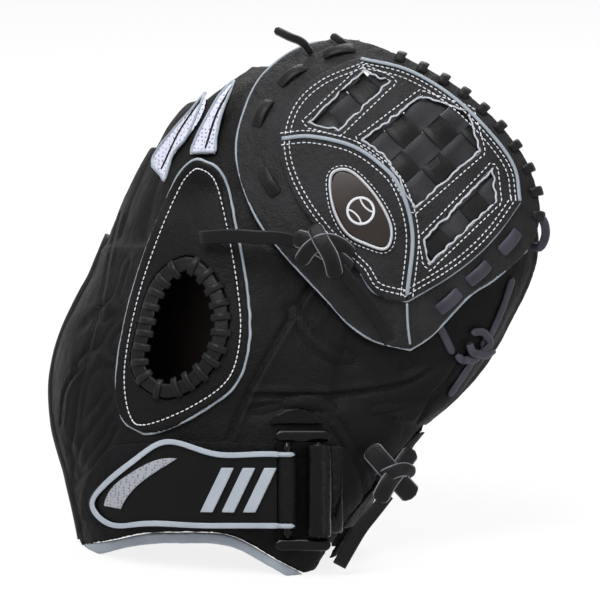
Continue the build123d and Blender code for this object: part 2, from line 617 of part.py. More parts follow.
def make_buckle():
    """Plastic ring and the leather keeper that holds its right bar."""
    plate_u = (BUCKLE_LEFT_U + BUCKLE_RIGHT_U) / 2
    width = BUCKLE_RIGHT_U - BUCKLE_LEFT_U + 4 * BAR + 4
    ring = bar(BUCKLE_LEFT_U, BAR, BUCKLE_LOW_V, BUCKLE_HIGH_V)
    ring = ring + bar(BUCKLE_RIGHT_U, BAR, BUCKLE_LOW_V, BUCKLE_HIGH_V)
    for v in (BUCKLE_LOW_V, BUCKLE_HIGH_V):
        ring = ring + Pos(plate_u, BUCKLE_W, v) * Box(width, 2 * BAR, 3 * BAR)
    low, high = BUCKLE_LOW_V + 1.5 * BAR + 1, BUCKLE_HIGH_V - 1.5 * BAR - 1
    roll = bar(BUCKLE_RIGHT_U, KEEPER, low, high)
    root = Pos(BUCKLE_RIGHT_U + 3, 0, (low + high) / 2) * Box(KEEPER, 9, high - low)
    tail = layer(HAND_ROWS, low + 1, high - 1, -GAP - 2.2, -GAP, 0.3, 1.0)
    tail = tail & polygon_cutter([(7, low), (26, low), (26, high), (7, high)])
    under = layer(HAND_ROWS, low - 4, high + 4, -GAP, 8, 0.4, 0.96)
    keeper = (roll + root + tail) - under - bar(BUCKLE_RIGHT_U, BAR + RUNNING, low - 1, high + 1)
    arch = [[(-15, 85), (-10, 91), (0, 94), (10, 91), (15, 85)], [(15, 85), (-15, 85)]]
    return {
        "buckle_ring": ring,
        "buckle_keeper": keeper,
        "keeper_patch": layer(HAND_ROWS, 78, 98, -GAP - 1.8, -GAP, 0.3, 1.0) & runs_cutter(arch),
    }


def make_strap():
    """Wrist band on the glove, and the strap that folds round the buckle."""
    tab = runs_cutter(TAB_OUTLINE)
    hook_start = 2 * GAP + BAND + 2 * GAP
    core_start = hook_start + HOOK + 2 * GAP
    tab_start = core_start + STRAP_CORE + 2 * GAP
    face = tab_start + TAB + GAP
    sleeve = bar(BUCKLE_LEFT_U, SLEEVE, STRAP_LOW, STRAP_HIGH)
    clear = bar(BUCKLE_LEFT_U, SLEEVE + GAP, STRAP_LOW - 5, STRAP_HIGH + 5)
    bore = bar(BUCKLE_LEFT_U, BAR + RUNNING, STRAP_LOW - 1, STRAP_HIGH + 1)
    hook_area = polygon_cutter([(-98, 33), (-30, 33), (-30, 64), (-86, 64)])
    bars = [polygon_cutter([(u, 36), (u + 7, 36), (u + 19, 61), (u + 12, 61)]) for u in (-54, -42, -30)]
    return {
        "wrist_band": strap_sheet(2 * GAP, BAND, runs_cutter(PILE_OUTLINE)),
        "hook_pad": strap_sheet(hook_start, HOOK, hook_area),
        "strap_core": (strap_sheet(core_start, STRAP_CORE, tab) + sleeve) - bore,
        "strap_tab": strap_sheet(tab_start, TAB, tab) - clear,
        "strap_rim": strap_sheet(face, RELIEF, ribbon(TAB_RIM_LINE, TAB_RIM)) - clear,
        "strap_inlay": strap_sheet(face, RELIEF / 2, runs_cutter(INLAY_OUTLINE)),
        "strap_motif": [strap_sheet(face, RELIEF, cut) for cut in bars],
    }


# ---- loose lace ends --------------------------------------------------------------------------
def lace_tail(route):
    """Flat lace along straight runs joined by tangent arcs."""
    points = [Vector(*point) for point in route]
    bends = []
    for a, b, c in zip(points, points[1:], points[2:]):
        turn = radians((b - a).get_angle(c - b))
        bends.append(0.45 * min((b - a).length, (c - b).length) / tan(turn / 2))
    path = FilletPolyline(*points, radius=bends)
    start = (points[1] - points[0]).normalized()
    across = start.cross(Vector(0, 1, 0)).normalized()
    profile = Plane(origin=points[0], x_dir=across, z_dir=start) * Rectangle(LACE_WIDTH, LACE)
    return sweep(profile, path=path)


def make_loose_ends():
    """Knot at the thumb heel and the three loose lace ends."""
    knot = [block_between((44, 6, 66), (63, 14, 50), 15, LACE),
            block_between((60, 8, 70), (48, 2, 42), 12, LACE)]
    nodes = {name: lace_tail(route) for name, route in TAIL_ROUTES.items()}
    nodes["heel_lace_knot"] = knot
    return nodes


def write_nodes(nodes):
    """Write each piece, moved into the standing frame, as its own file."""
    for name, piece in nodes.items():
        pieces = piece if isinstance(piece, list) else piece.solids()
        solids = [solid for item in pieces for solid in standing(item).solids()]
        shape = solids[0] if len(solids) == 1 else Compound(children=solids)
        shape.label = name
        export_step(shape, f"parts/{name}.step")


if __name__ == "__main__":
    os.makedirs("parts", exist_ok=True)
    for make in (make_hand, make_finger_hole, make_fingers, make_thumb, make_web, make_web_laces,
                 make_buckle, make_strap, make_loose_ends):
        write_nodes(make())
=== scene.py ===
"""Left-hand baseball glove, dressed in leather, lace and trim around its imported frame.

Lengths are millimetres in the drafting frame of the glove, where u runs across the
back of the hand, w runs from the back of the hand towards the palm and v runs up
the fingers.  DraftFrame turns them into metres in the frame that the pieces share.
"""

from __future__ import annotations

import logging
from dataclasses import dataclass, field, replace
from enum import Enum
from math import cos, pi, radians, sin
from typing import ClassVar, Iterable, Sequence

import bmesh
import bpy
import numpy as np
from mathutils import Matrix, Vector, kdtree, noise
from mathutils.bvhtree import BVHTree


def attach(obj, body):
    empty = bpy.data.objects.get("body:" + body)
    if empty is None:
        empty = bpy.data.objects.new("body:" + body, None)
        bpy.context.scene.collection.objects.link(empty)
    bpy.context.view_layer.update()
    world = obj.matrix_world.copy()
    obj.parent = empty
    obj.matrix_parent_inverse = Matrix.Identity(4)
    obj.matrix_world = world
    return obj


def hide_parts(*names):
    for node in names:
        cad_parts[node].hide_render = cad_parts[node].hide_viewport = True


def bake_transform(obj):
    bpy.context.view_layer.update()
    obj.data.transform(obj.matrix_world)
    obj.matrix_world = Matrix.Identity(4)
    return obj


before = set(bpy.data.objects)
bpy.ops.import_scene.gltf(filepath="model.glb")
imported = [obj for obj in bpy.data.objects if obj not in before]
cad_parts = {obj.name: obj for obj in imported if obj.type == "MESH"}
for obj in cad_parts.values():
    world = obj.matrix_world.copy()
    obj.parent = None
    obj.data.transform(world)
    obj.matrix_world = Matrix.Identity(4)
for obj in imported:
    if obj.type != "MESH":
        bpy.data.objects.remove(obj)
NODES: dict[str, Piece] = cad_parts
MM = 0.001
LOG = logging.getLogger("glove")
Piece = bpy.types.Object
Mesh = bpy.types.Mesh
Tree = bpy.types.NodeTree
Node = bpy.types.Node
Socket = bpy.types.NodeSocket
Pair = tuple[float, float]
Spot = tuple[float, float, float]
Line = Sequence[Pair]


# ---- frames ----
@dataclass(frozen=True)
class DraftFrame:
    """Drafting frame of the glove, which leans back on its heel when it stands."""

    lean: float = radians(12.0)
    foot_u: float = -48.0
    foot_w: float = 54.0

    def place(self, points: np.ndarray) -> np.ndarray:
        """Move draft points into the shared frame.

        Args:
            points: Rows of (u, w, v) in millimetres.

        Returns:
            Rows of (x, y, z) in metres.
        """
        u, w, v = np.asarray(points, float).reshape(-1, 3).T
        y = w * cos(self.lean) + v * sin(self.lean) - self.foot_w
        z = -w * sin(self.lean) + v * cos(self.lean)
        return np.stack([u - self.foot_u, y, z], axis=1) * MM

    def read(self, points: np.ndarray) -> np.ndarray:
        """Read shared points back as draft points.

        Args:
            points: Rows of (x, y, z) in metres.

        Returns:
            Rows of (u, w, v) in millimetres.
        """
        x, y, z = (np.asarray(points, float).reshape(-1, 3) / MM).T
        y = y + self.foot_w
        w = y * cos(self.lean) - z * sin(self.lean)
        v = y * sin(self.lean) + z * cos(self.lean)
        return np.stack([x + self.foot_u, w, v], axis=1)

    def turned(self, directions: np.ndarray) -> np.ndarray:
        """Draft directions, turned into the shared frame at the same length."""
        return (self.place(directions) - self.place(np.zeros(3))) / MM

    def spot(self, u: float, w: float, v: float) -> Vector:
        """One draft point, in the shared frame."""
        return Vector(self.place(np.array([[u, w, v]]))[0])

    def heading(self, u: float, w: float, v: float) -> Vector:
        """A draft direction, as a unit vector of the shared frame."""
        return (self.spot(u, w, v) - self.spot(0, 0, 0)).normalized()


DRAFT = DraftFrame()
INWARD = DRAFT.heading(0, 1, 0)
OUTWARD = -np.array(INWARD)


@dataclass(frozen=True)
class Bend:
    """Ramp from the hand to the thumb, given by its two ends, that a soft piece is seated on; nothing bends
    the piece over it.
    """

    start: Spot
    end: Spot

    def apply(self, piece: Piece) -> None:
        """Bake a piece's transform into its mesh; the ramp's ends are read, but the piece is not bent."""
        DRAFT.spot(*self.start)
        DRAFT.spot(*self.end)
        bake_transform(piece)


SHELL_BEND = Bend((37.6, 50.0, 115.5), (77.5, 50.0, 166.8))
WEB_BEND = Bend((-12.0, 50.0, 105.5), (104.1, 50.0, 75.5))


class Body(Enum):
    """Bodies of the frame that a whole piece rides on."""

    HAND = "hand"
    BUCKLE = "buckle"
    STRAP = "strap"


class Slot(Enum):
    """Material slots of the frame."""

    SHELL = "shell_leather"
    LINING = "lining_leather"
    LACE = "lace_leather"
    MESH = "mesh_fabric"
    TRIM = "grey_trim"
    GREY_RUBBER = "grey_rubber"
    BLACK_RUBBER = "black_rubber"
    PLASTIC = "black_plastic"
    PILE = "hook_and_loop"
    FELT = "felt"
    BADGE = "badge_patch"


def seat(piece: Piece, follows: Body | Bend, slot: Slot, *nodes: str) -> Piece:
    """Attach a finished piece to its body, or bake its transform for a ramp, and hide the nodes that it
    stands for.

    Args:
        piece: The finished mesh or curve.
        follows: The body that it rides on, or the ramp that it is seated on, which only bakes its transform.
        slot: The slot that its finish belongs to; not used.
        nodes: Names of the nodes that it replaces.

    Returns:
        The same piece.
    """
    if isinstance(follows, Bend):
        follows.apply(piece)
    else:
        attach(piece, follows.value)
    if nodes:
        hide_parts(*nodes)
    LOG.info("piece %s: %d faces", piece.name, len(getattr(piece.data, "polygons", [])))
    return piece


# ---- mesh tools ----
def entered(name: str, data: bpy.types.ID) -> Piece:
    """Put a mesh, curve, lamp or camera into the scene.

    Args:
        name: Name of its object.
        data: The mesh, curve, lamp or camera.

    Returns:
        The object, at the origin.
    """
    made = bpy.data.objects.new(name, data)
    bpy.context.scene.collection.objects.link(made)
    return made


def new_piece(name: str, points: Iterable, faces: Sequence = (), enclosed: bool = False) -> Piece:
    """Make a mesh piece with smooth faces.

    Args:
        name: Name of the piece.
        points: Its points in metres.
        faces: The point numbers of each face.
        enclosed: Whether the faces enclose a volume and have to point out of it.

    Returns:
        The piece.
    """
    mesh = bpy.data.meshes.new(name)
    mesh.from_pydata([tuple(point) for point in points], [], faces)
    if enclosed:
        turn_outwards(mesh)
    mesh.shade_smooth()
    return entered(name, mesh)


def turn_outwards(mesh: Mesh) -> None:
    """Flip a closed mesh whose faces point inwards.

    Args:
        mesh: The mesh.
    """
    volume = 0.0
    for polygon in mesh.polygons:
        corners = [mesh.vertices[i].co for i in polygon.vertices]
        for b, c in zip(corners[1:], corners[2:]):
            volume += corners[0].dot(b.cross(c))
    if volume < 0:
        mesh.flip_normals()


def ring_faces(count: int, ring: int, closed: bool = False) -> list[tuple[int, ...]]:
    """Faces of a tube made of rings of points.

    Args:
        count: How many rings there are.
        ring: How many points each ring has.
        closed: Whether the last ring meets the first, instead of both being capped.

    Returns:
        The point numbers of each face.
    """
    faces = []
    for i in range(count if closed else count - 1):
        j = (i + 1) % count
        for k in range(ring):
            m = (k + 1) % ring
            faces.append((i * ring + k, i * ring + m, j * ring + m, j * ring + k))
    if not closed:
        faces.append(tuple(range(ring - 1, -1, -1)))
        faces.append(tuple((count - 1) * ring + k for k in range(ring)))
    return faces


def evaluated(piece: Piece) -> Piece:
    """Apply a piece's modifiers.

    Args:
        piece: The piece, which keeps its name.

    Returns:
        The same piece, without modifiers.
    """
    graph = bpy.context.evaluated_depsgraph_get()
    graph.update()
    mesh = bpy.data.meshes.new_from_object(piece.evaluated_get(graph), depsgraph=graph)
    piece.modifiers.clear()
    piece.data = mesh
    mesh.name = piece.name
    return piece


def gathered(pieces: Iterable[Piece]) -> tuple[np.ndarray, list[list[int]]]:
    """Read the faces of several pieces as those of one mesh.

    Args:
        pieces: The pieces or nodes.

    Returns:
        Rows of points in metres, and the point numbers of each face.
    """
    points, faces, start = [], [], 0
    for piece in pieces:
        points.append(read_points(piece)[0])
        faces += [[start + i for i in polygon.vertices] for polygon in piece.data.polygons]
        start += len(points[-1])
    return np.concatenate(points), faces


def merged_copy(name: str, nodes: Sequence[str]) -> Piece:
    """Copy nodes of the frame into one mesh with its doubled points merged.

    Args:
        name: Name of the new piece.
        nodes: Names of the nodes to copy.

    Returns:
        The new piece, which nothing rides on yet.
    """
    piece = new_piece(name, *gathered(NODES[node] for node in nodes))
    weld = piece.modifiers.new("weld", "WELD")
    weld.merge_threshold = 0.01 * MM
    return evaluated(piece)


def remeshed(piece: Piece, voxel: float, rounds: int, swell: float = 0.0) -> Piece:
    """Rebuild a piece as an even skin and relax it.

    Args:
        piece: The piece to rebuild.
        voxel: Size of the new faces in millimetres.
        rounds: How many times the skin is relaxed.
        swell: How far the skin is first pushed out, in millimetres.

    Returns:
        The same piece with its new mesh.
    """
    if swell:
        points, normals = read_points(piece)
        write_points(piece, points + normals * swell * MM)
    rebuild = piece.modifiers.new("rebuild", "REMESH")
    rebuild.mode = "VOXEL"
    rebuild.voxel_size = voxel * MM
    if rounds:
        relax = piece.modifiers.new("relax", "SMOOTH")
        relax.iterations = rounds
        relax.factor = 0.5
    evaluated(piece)
    piece.data.shade_smooth()
    return piece


def read_points(piece: Piece) -> tuple[np.ndarray, np.ndarray]:
    """Read the mesh of a piece.

    Args:
        piece: The piece.

    Returns:
        Rows of points in metres and of unit normals.
    """
    count = len(piece.data.vertices)
    points, normals = np.zeros(count * 3), np.zeros(count * 3)
    piece.data.vertices.foreach_get("co", points)
    piece.data.vertex_normals.foreach_get("vector", normals)
    return points.reshape(-1, 3), normals.reshape(-1, 3)


def write_points(piece: Piece, points: np.ndarray) -> None:
    """Move the points of a piece to new places, in metres."""
    piece.data.vertices.foreach_set("co", points.ravel())
    piece.data.update()


def joined(name: str, pieces: list[Piece]) -> Piece:
    """Make several pieces one piece.

    Args:
        name: Name of the joined piece.
        pieces: The pieces, which are used up.

    Returns:
        The joined piece.
    """
    with bpy.context.temp_override(active_object=pieces[0], selected_editable_objects=pieces):
        bpy.ops.object.join()
    pieces[0].name = name
    pieces[0].data.name = name
    return pieces[0]


@dataclass(frozen=True)
class Creases:
    """Creases and swellings of worked leather, pressed into a mesh."""

    spacing: float = 26.0
    crease: float = 0.55
    swell: float = 0.5
    stretch: Spot = (1.0, 1.0, 0.6)
    seed: float = 3.0
    swelling_noise: ClassVar[Spot] = (0.9, 2.1, 3)
    crease_scale: ClassVar[float] = 2.7
    crease_shift: ClassVar[float] = 11.0
    crease_slope: ClassVar[float] = 2.2
    crease_sharpness: ClassVar[int] = 5

    def press(self, piece: Piece) -> None:
        """Press the creases into a piece along its normals.

        Args:
            piece: The piece, with an even skin.
        """
        points, normals = read_points(piece)
        places = DRAFT.read(points) * np.array(self.stretch) / self.spacing + self.seed
        depth = np.zeros(len(points))
        for i, place in enumerate(places):
            wide = noise.fractal(Vector(place), *self.swelling_noise)
            fine = noise.noise(Vector(place * self.crease_scale + self.crease_shift))
            valley = (1.0 - min(abs(fine) * self.crease_slope, 1.0)) ** self.crease_sharpness
            depth[i] = wide * self.swell - valley * self.crease
        write_points(piece, points + normals * depth[:, None] * MM)


def press_line(piece: Piece, line: np.ndarray, width: float, depth: float) -> None:
    """Press a seam or a fold into a piece, or raise it where depth is negative.

    Args:
        piece: The piece, with an even skin.
        line: Points of the seam in metres.
        width: Half width of the seam in millimetres.
        depth: Depth of the seam in millimetres.
    """
    tree = kdtree.KDTree(len(line))
    for i, point in enumerate(line):
        tree.insert(point, i)
    tree.balance()
    points, normals = read_points(piece)
    reach = 3 * width * MM
    low, high = line.min(0) - reach, line.max(0) + reach
    near = np.where(((points > low) & (points < high)).all(axis=1))[0]
    for i in near:
        distance = tree.find(points[i])[2]
        if distance < reach:
            points[i] -= normals[i] * depth * MM * np.exp(-((distance / (width * MM)) ** 2))
    write_points(piece, points)


# ---- pattern lines ----
def smooth_line(points: Sequence, step: float, closed: bool = False) -> np.ndarray:
    """Even points along a smooth curve through the given ones.

    Args:
        points: Points of the pattern, two or three numbers each.
        step: Spacing of the new points, in the units of the points.
        closed: Whether the curve returns to its start.

    Returns:
        Rows of points, without the start repeated on a closed curve.
    """
    given = np.asarray(points, float)
    if closed:
        given = np.vstack([given[-1], given, given[0], given[1]])
    else:
        given = np.vstack([2 * given[0] - given[1], given, 2 * given[-1] - given[-2]])
    fine = []
    part = np.linspace(0, 1, 24, endpoint=False)[:, None]
    for a, b, c, d in zip(given, given[1:], given[2:], given[3:]):
        fine.append(0.5 * (2 * b + (c - a) * part + (2 * a - 5 * b + 4 * c - d) * part**2
                           + (3 * b - 3 * c + d - a) * part**3))
    fine = np.vstack(fine + ([] if closed else [given[-2][None]]))
    if closed:
        fine = np.vstack([fine, fine[0]])
    run = np.concatenate([[0], np.cumsum(np.linalg.norm(np.diff(fine, axis=0), axis=1))])
    count = max(int(round(run[-1] / step)), 3)
    marks = np.linspace(0, run[-1], count + 1)
    even = np.stack([np.interp(marks, run, fine[:, k]) for k in range(fine.shape[1])], axis=1)
    return even[:-1] if closed else even


def corner_line(corners: Line, count: int = 0, step: float = 1.0) -> np.ndarray:
    """Points along the straight sides of a closed outline.

    Args:
        corners: Its corners (u, v).
        count: How many points each side gets, or 0 for points at even steps.
        step: Length of an even step in millimetres.

    Returns:
        Rows of (u, v), without the start repeated.
    """
    ring = np.array(corners + corners[:1], float)
    sides = zip(ring, ring[1:])
    return np.vstack([np.linspace(a, b, count or max(int(np.hypot(*(b - a)) / step), 2), endpoint=False)
                      for a, b in sides])


def unit(rows: np.ndarray) -> np.ndarray:
    """Rows of directions at a length of 1."""
    return rows / (np.linalg.norm(rows, axis=1)[:, None] + 1e-12)


def strides(points: np.ndarray, closed: bool = False) -> np.ndarray:
    """Way that a line runs at each of its points.

    Args:
        points: Rows of points.
        closed: Whether the line returns to its start.

    Returns:
        Steps from the point before to the point after, one for each point.
    """
    ahead = np.roll(points, -1, axis=0) if closed else np.vstack([points[1:], points[-1:]])
    behind = np.roll(points, 1, axis=0) if closed else np.vstack([points[:1], points[:-1]])
    return ahead - behind


def shifted(points: np.ndarray, amount: float, closed: bool = False) -> np.ndarray:
    """Pattern line moved sideways by an amount.

    Args:
        points: Rows of (u, v), evenly spaced.
        amount: Distance to the left of the way the line runs.
        closed: Whether the line returns to its start.

    Returns:
        Rows of (u, v).
    """
    along = unit(strides(points, closed))
    return points + np.stack([-along[:, 1], along[:, 0]], axis=1) * amount


def inner_side(line: np.ndarray) -> float:
    """Side of a closed pattern line on which its inside lies.

    Args:
        line: Rows of (u, v).

    Returns:
        1 where the inside is on the left of the way the line runs, and otherwise -1.
    """
    after = np.roll(line, -1, axis=0)
    return 1.0 if (line[:, 0] * after[:, 1] - after[:, 0] * line[:, 1]).sum() > 0 else -1.0


def inside(outline: np.ndarray, point: np.ndarray, margin: float) -> bool:
    """Whether a place lies inside an outline, at least a margin from its edge.

    Args:
        outline: Rows of (u, v).
        point: The place.
        margin: Least distance to the edge.

    Returns:
        True when it lies inside.
    """
    u, v = point
    (u0, v0), (u1, v1) = outline.T, np.roll(outline, -1, axis=0).T
    crosses = (v0 > v) != (v1 > v)
    where = u0 + (v - v0) * (u1 - u0) / np.where(v1 == v0, 1e-9, v1 - v0)
    within = (crosses & (u < where)).sum() % 2 == 1
    return bool(within and np.hypot(u0 - u, v0 - v).min() > margin)


class Ground:
    """Faces of finished pieces, on which pattern lines are laid."""

    behind_back = -120.0
    beyond_palm = 320.0

    def __init__(self, *pieces: Piece) -> None:
        """Gather the faces of the pieces.

        Args:
            pieces: Pieces or nodes that carry the lines.
        """
        points, faces = gathered(pieces)
        self.tree = BVHTree.FromPolygons(points.tolist(), faces)

    def probe(self, u: float, v: float, from_palm: bool = False) -> tuple[Vector, Vector] | None:
        """Find the outermost face at a place of the pattern.

        Args:
            u: Place across.
            v: Place along the fingers.
            from_palm: Whether to look from the palm instead of from the back.

        Returns:
            The point in metres and its outward direction, or None off the faces.
        """
        look = -INWARD if from_palm else INWARD
        start = DRAFT.spot(u, self.beyond_palm if from_palm else self.behind_back, v)
        hit, normal, _, _ = self.tree.ray_cast(start, look)
        if hit is None:
            return None
        return hit, -normal if normal.dot(look) > 0 else normal

    def lay(self, line: np.ndarray, lift: float = 0.0) -> tuple[np.ndarray, np.ndarray]:
        """Drop a pattern line onto the back of the faces.

        Args:
            line: Rows of (u, v).
            lift: Height over the faces in millimetres.

        Returns:
            Points in metres and the outward directions there; misses are left out.
        """
        found = [place for u, v in line if (place := self.probe(u, v))]
        points = np.array([point for point, _ in found])
        outs = np.array([out for _, out in found])
        for _ in range(3):
            outs[1:-1] = (outs[:-2] + 2 * outs[1:-1] + outs[2:]) / 4
        outs = unit(outs)
        return points + outs * lift * MM, outs


@dataclass(frozen=True)
class Dome:
    """Round dome that the web is cut from."""

    u: float = 50.0
    w: float = 164.0
    v: float = 180.0
    radius: float = 168.0

    def lay(self, line: np.ndarray, lift: float | np.ndarray = 0.0) -> tuple[np.ndarray, np.ndarray]:
        """Lay a pattern line on the dome.

        Args:
            line: Rows of (u, v).
            lift: Height over the outer face, negative when under it.

        Returns:
            Points in metres and the outward directions there.
        """
        reach = self.radius + np.broadcast_to(np.asarray(lift, float), (len(line),))
        du, dv = line[:, 0] - self.u, line[:, 1] - self.v
        dw = -np.sqrt(reach**2 - du**2 - dv**2)
        outs = unit(np.stack([du, dw, dv], axis=1))
        return DRAFT.place(np.stack([line[:, 0], self.w + dw, line[:, 1]], axis=1)), DRAFT.turned(outs)


DOME = Dome()


# ---- cut and swept leather ----
def cut_off(whole: Mesh, place: Vector, up: Vector, keep_below: bool,
            aside: Vector | None = None) -> bmesh.types.BMesh:
    """Part of a mesh on one side of a plane, with its cut closed.

    Args:
        whole: The mesh.
        place: A point of the plane.
        up: Direction that the plane faces.
        keep_below: Whether the part below the plane is wanted.
        aside: Direction in which all that lies beyond the place is dropped.

    Returns:
        The part.
    """
    part = bmesh.new()
    part.from_mesh(whole)
    cut = bmesh.ops.bisect_plane(part, geom=part.verts[:] + part.edges[:] + part.faces[:], plane_co=place,
                                 plane_no=up, clear_outer=keep_below, clear_inner=not keep_below)
    rim = [item for item in cut["geom_cut"] if isinstance(item, bmesh.types.BMEdge)]
    filled = bmesh.ops.triangle_fill(part, edges=rim, use_beauty=True, use_dissolve=False)
    outward = up if keep_below else -up
    for face in [item for item in filled["geom"] if isinstance(item, bmesh.types.BMFace)]:
        face.normal_update()
        if face.normal.dot(outward) < 0:
            face.normal_flip()
    if aside:
        beyond = [face for face in part.faces if (face.calc_center_median() - place).dot(aside) > 0]
        bmesh.ops.delete(part, geom=beyond, context="FACES")
    return part


def parted(piece: Piece, name: str, place: Vector, up: Vector, aside: Vector) -> Piece:
    """Cut a piece in two along a plane, close both cuts and keep the shading across them.

    Args:
        piece: The piece, which keeps what lies below the plane, or aside of the place.
        name: Name of the new piece above the plane.
        place: A point of the plane.
        up: Direction that the plane faces.
        aside: Direction in which everything stays with the piece.

    Returns:
        The new piece above the plane.
    """
    _, normals = read_points(piece)
    whole = piece.data
    whole.attributes.new("skin_normal", "FLOAT_VECTOR", "POINT").data.foreach_set("vector", normals.ravel())
    below = cut_off(whole, place, up, True)
    staying = bpy.data.meshes.new("staying")
    cut_off(whole, place, up, False, -aside).to_mesh(staying)
    below.from_mesh(staying)
    meshes = []
    for part in (below, cut_off(whole, place, up, False, aside)):
        mesh = bpy.data.meshes.new(name)
        part.to_mesh(mesh)
        part.free()
        mesh.shade_smooth()
        kept = np.zeros(len(mesh.vertices) * 3, np.float32)
        mesh.attributes["skin_normal"].data.foreach_get("vector", kept)
        mesh.normals_split_custom_set_from_vertices(kept.reshape(-1, 3))
        meshes.append(mesh)
    piece.data, above = meshes
    piece.data.name = piece.name
    return entered(name, above)


def bridge(name: str, ground: Ground, left: np.ndarray, right: np.ndarray, thick: float,
           from_palm: bool = False) -> Piece:
    """Gusset of leather that closes the slit between two panels.

    Args:
        name: Name of the gusset.
        ground: Faces of both panels.
        left: Rows of (u, v) on one panel.
        right: Rows of (u, v) on the other panel, in step with the left ones.
        thick: Thickness in millimetres.
        from_palm: Whether the slit is on the palm side.

    Returns:
        A closed strip, to be remeshed with the panels.
    """
    points = []
    for a, b in zip(left, right):
        one, two = ground.probe(*a, from_palm), ground.probe(*b, from_palm)
        if one and two:
            sink = -(one[1] + two[1]).normalized() * thick * MM
            points += [one[0] + sink, two[0] + sink, two[0], one[0]]
    return new_piece(name, points, ring_faces(len(points) // 4, 4), enclosed=True)


def round_profile(radius: float, count: int = 10, flat: float = 1.0) -> np.ndarray:
    """Section of a round cord.

    Args:
        radius: Its radius in millimetres.
        count: How many points it has.
        flat: Factor that flattens it.

    Returns:
        Rows of (side, out), counter-clockwise.
    """
    turn = np.arange(count) * 2 * pi / count
    return np.stack([np.cos(turn) * radius, np.sin(turn) * radius * flat], axis=1)


def strap_profile(width: float, thick: float, crown: float = 0.25) -> np.ndarray:
    """Section of a cut strap with eased edges and a slightly domed face.

    Args:
        width: Width of the strap in millimetres.
        thick: Thickness of the strap in millimetres.
        crown: How far the middle of the face stands over its edges.

    Returns:
        Rows of (side, out), counter-clockwise.
    """
    half, ease = width / 2, min(thick * 0.35, 0.6)
    under = [(-half, ease), (-half + ease, 0), (half - ease, 0), (half, ease)]
    face = [(half, thick - ease), (half - ease, thick), (half * 0.4, thick + crown),
            (-half * 0.4, thick + crown), (-half + ease, thick), (-half, thick - ease)]
    return np.array(under + face)


def swept(name: str, points: np.ndarray, outs: np.ndarray, profile: np.ndarray, closed: bool = False,
          taper: int = 0) -> Piece:
    """Sweep a section along a line.

    Args:
        name: Name of the new piece.
        points: Rows of points in metres.
        outs: Outward direction at each point.
        profile: Rows of (side, out) in millimetres.
        closed: Whether the line returns to its start.
        taper: How many points at each end narrow down.

    Returns:
        The new piece, closed, with its faces outwards.
    """
    along = unit(strides(points, closed))
    side = unit(np.cross(along, outs))
    up = np.cross(side, along)
    scale = np.ones(len(points))
    for i in range(taper):
        scale[i] = scale[-1 - i] = sin((i + 0.6) / (taper + 0.6) * pi / 2)
    rings = (points[:, None] + side[:, None] * (profile[:, 0] * MM)[None, :, None] * scale[:, None, None]
             + up[:, None] * (profile[:, 1] * MM)[None, :, None])
    faces = ring_faces(len(points), len(profile), closed)
    return new_piece(name, rings.reshape(-1, 3), faces, enclosed=True)


# ---- finishes ----
def linear(colour: str) -> tuple[float, float, float, float]:
    """Turn an sRGB hex colour into linear values.

    Args:
        colour: Six hex digits after a hash.

    Returns:
        Linear red, green and blue, and an alpha of 1.
    """
    parts = [int(colour[i:i + 2], 16) / 255 for i in (1, 3, 5)]
    return tuple(p / 12.92 if p <= 0.04045 else ((p + 0.055) / 1.055) ** 2.4 for p in parts) + (1.0,)


def per_mm(size: float) -> float:
    """Texture scale at which one cell of a pattern is this many millimetres."""
    return 1.0 / (size * MM)


def add(tree: Tree, kind: str, inputs: dict | None = None, **settings) -> Node:
    """Add a node with its settings and links.

    Args:
        tree: The node tree that gets the node.
        kind: Blender's name of the node type.
        inputs: A socket to link or a value, by the input's name or number.
        settings: Properties of the node.

    Returns:
        The new node.
    """
    made = tree.nodes.new(kind)
    for name, value in settings.items():
        setattr(made, name, value)
    for key, value in (inputs or {}).items():
        if isinstance(value, Socket):
            tree.links.new(value, made.inputs[key])
        else:
            made.inputs[key].default_value = value
    return made


def blank_tree(owner: bpy.types.Material | bpy.types.World) -> Tree:
    """Give a material or a world an empty node tree.

    Args:
        owner: The material or world.

    Returns:
        Its tree.
    """
    owner.use_nodes = True
    owner.node_tree.nodes.clear()
    return owner.node_tree


@dataclass(frozen=True)
class Surface:
    """A named surface of which one material is made."""

    name: str

    def make(self) -> bpy.types.Material:
        """Build the material.

        Returns:
            The material, made once for each surface.
        """
        known = bpy.data.materials.get(self.name)
        if known:
            return known
        material = bpy.data.materials.new(self.name)
        tree = blank_tree(material)
        place = add(tree, "ShaderNodeTexCoord").outputs["Object"]
        add(tree, "ShaderNodeOutputMaterial", {"Surface": self.shader(tree, place).outputs[0]})
        return material

    def shader(self, tree: Tree, place: Socket) -> Node:
        """Build the nodes of the surface, which each kind of surface does its own way.

        Args:
            tree: The material's tree.
            place: Coordinates of the surface.

        Returns:
            The shader node.
        """
        raise NotImplementedError


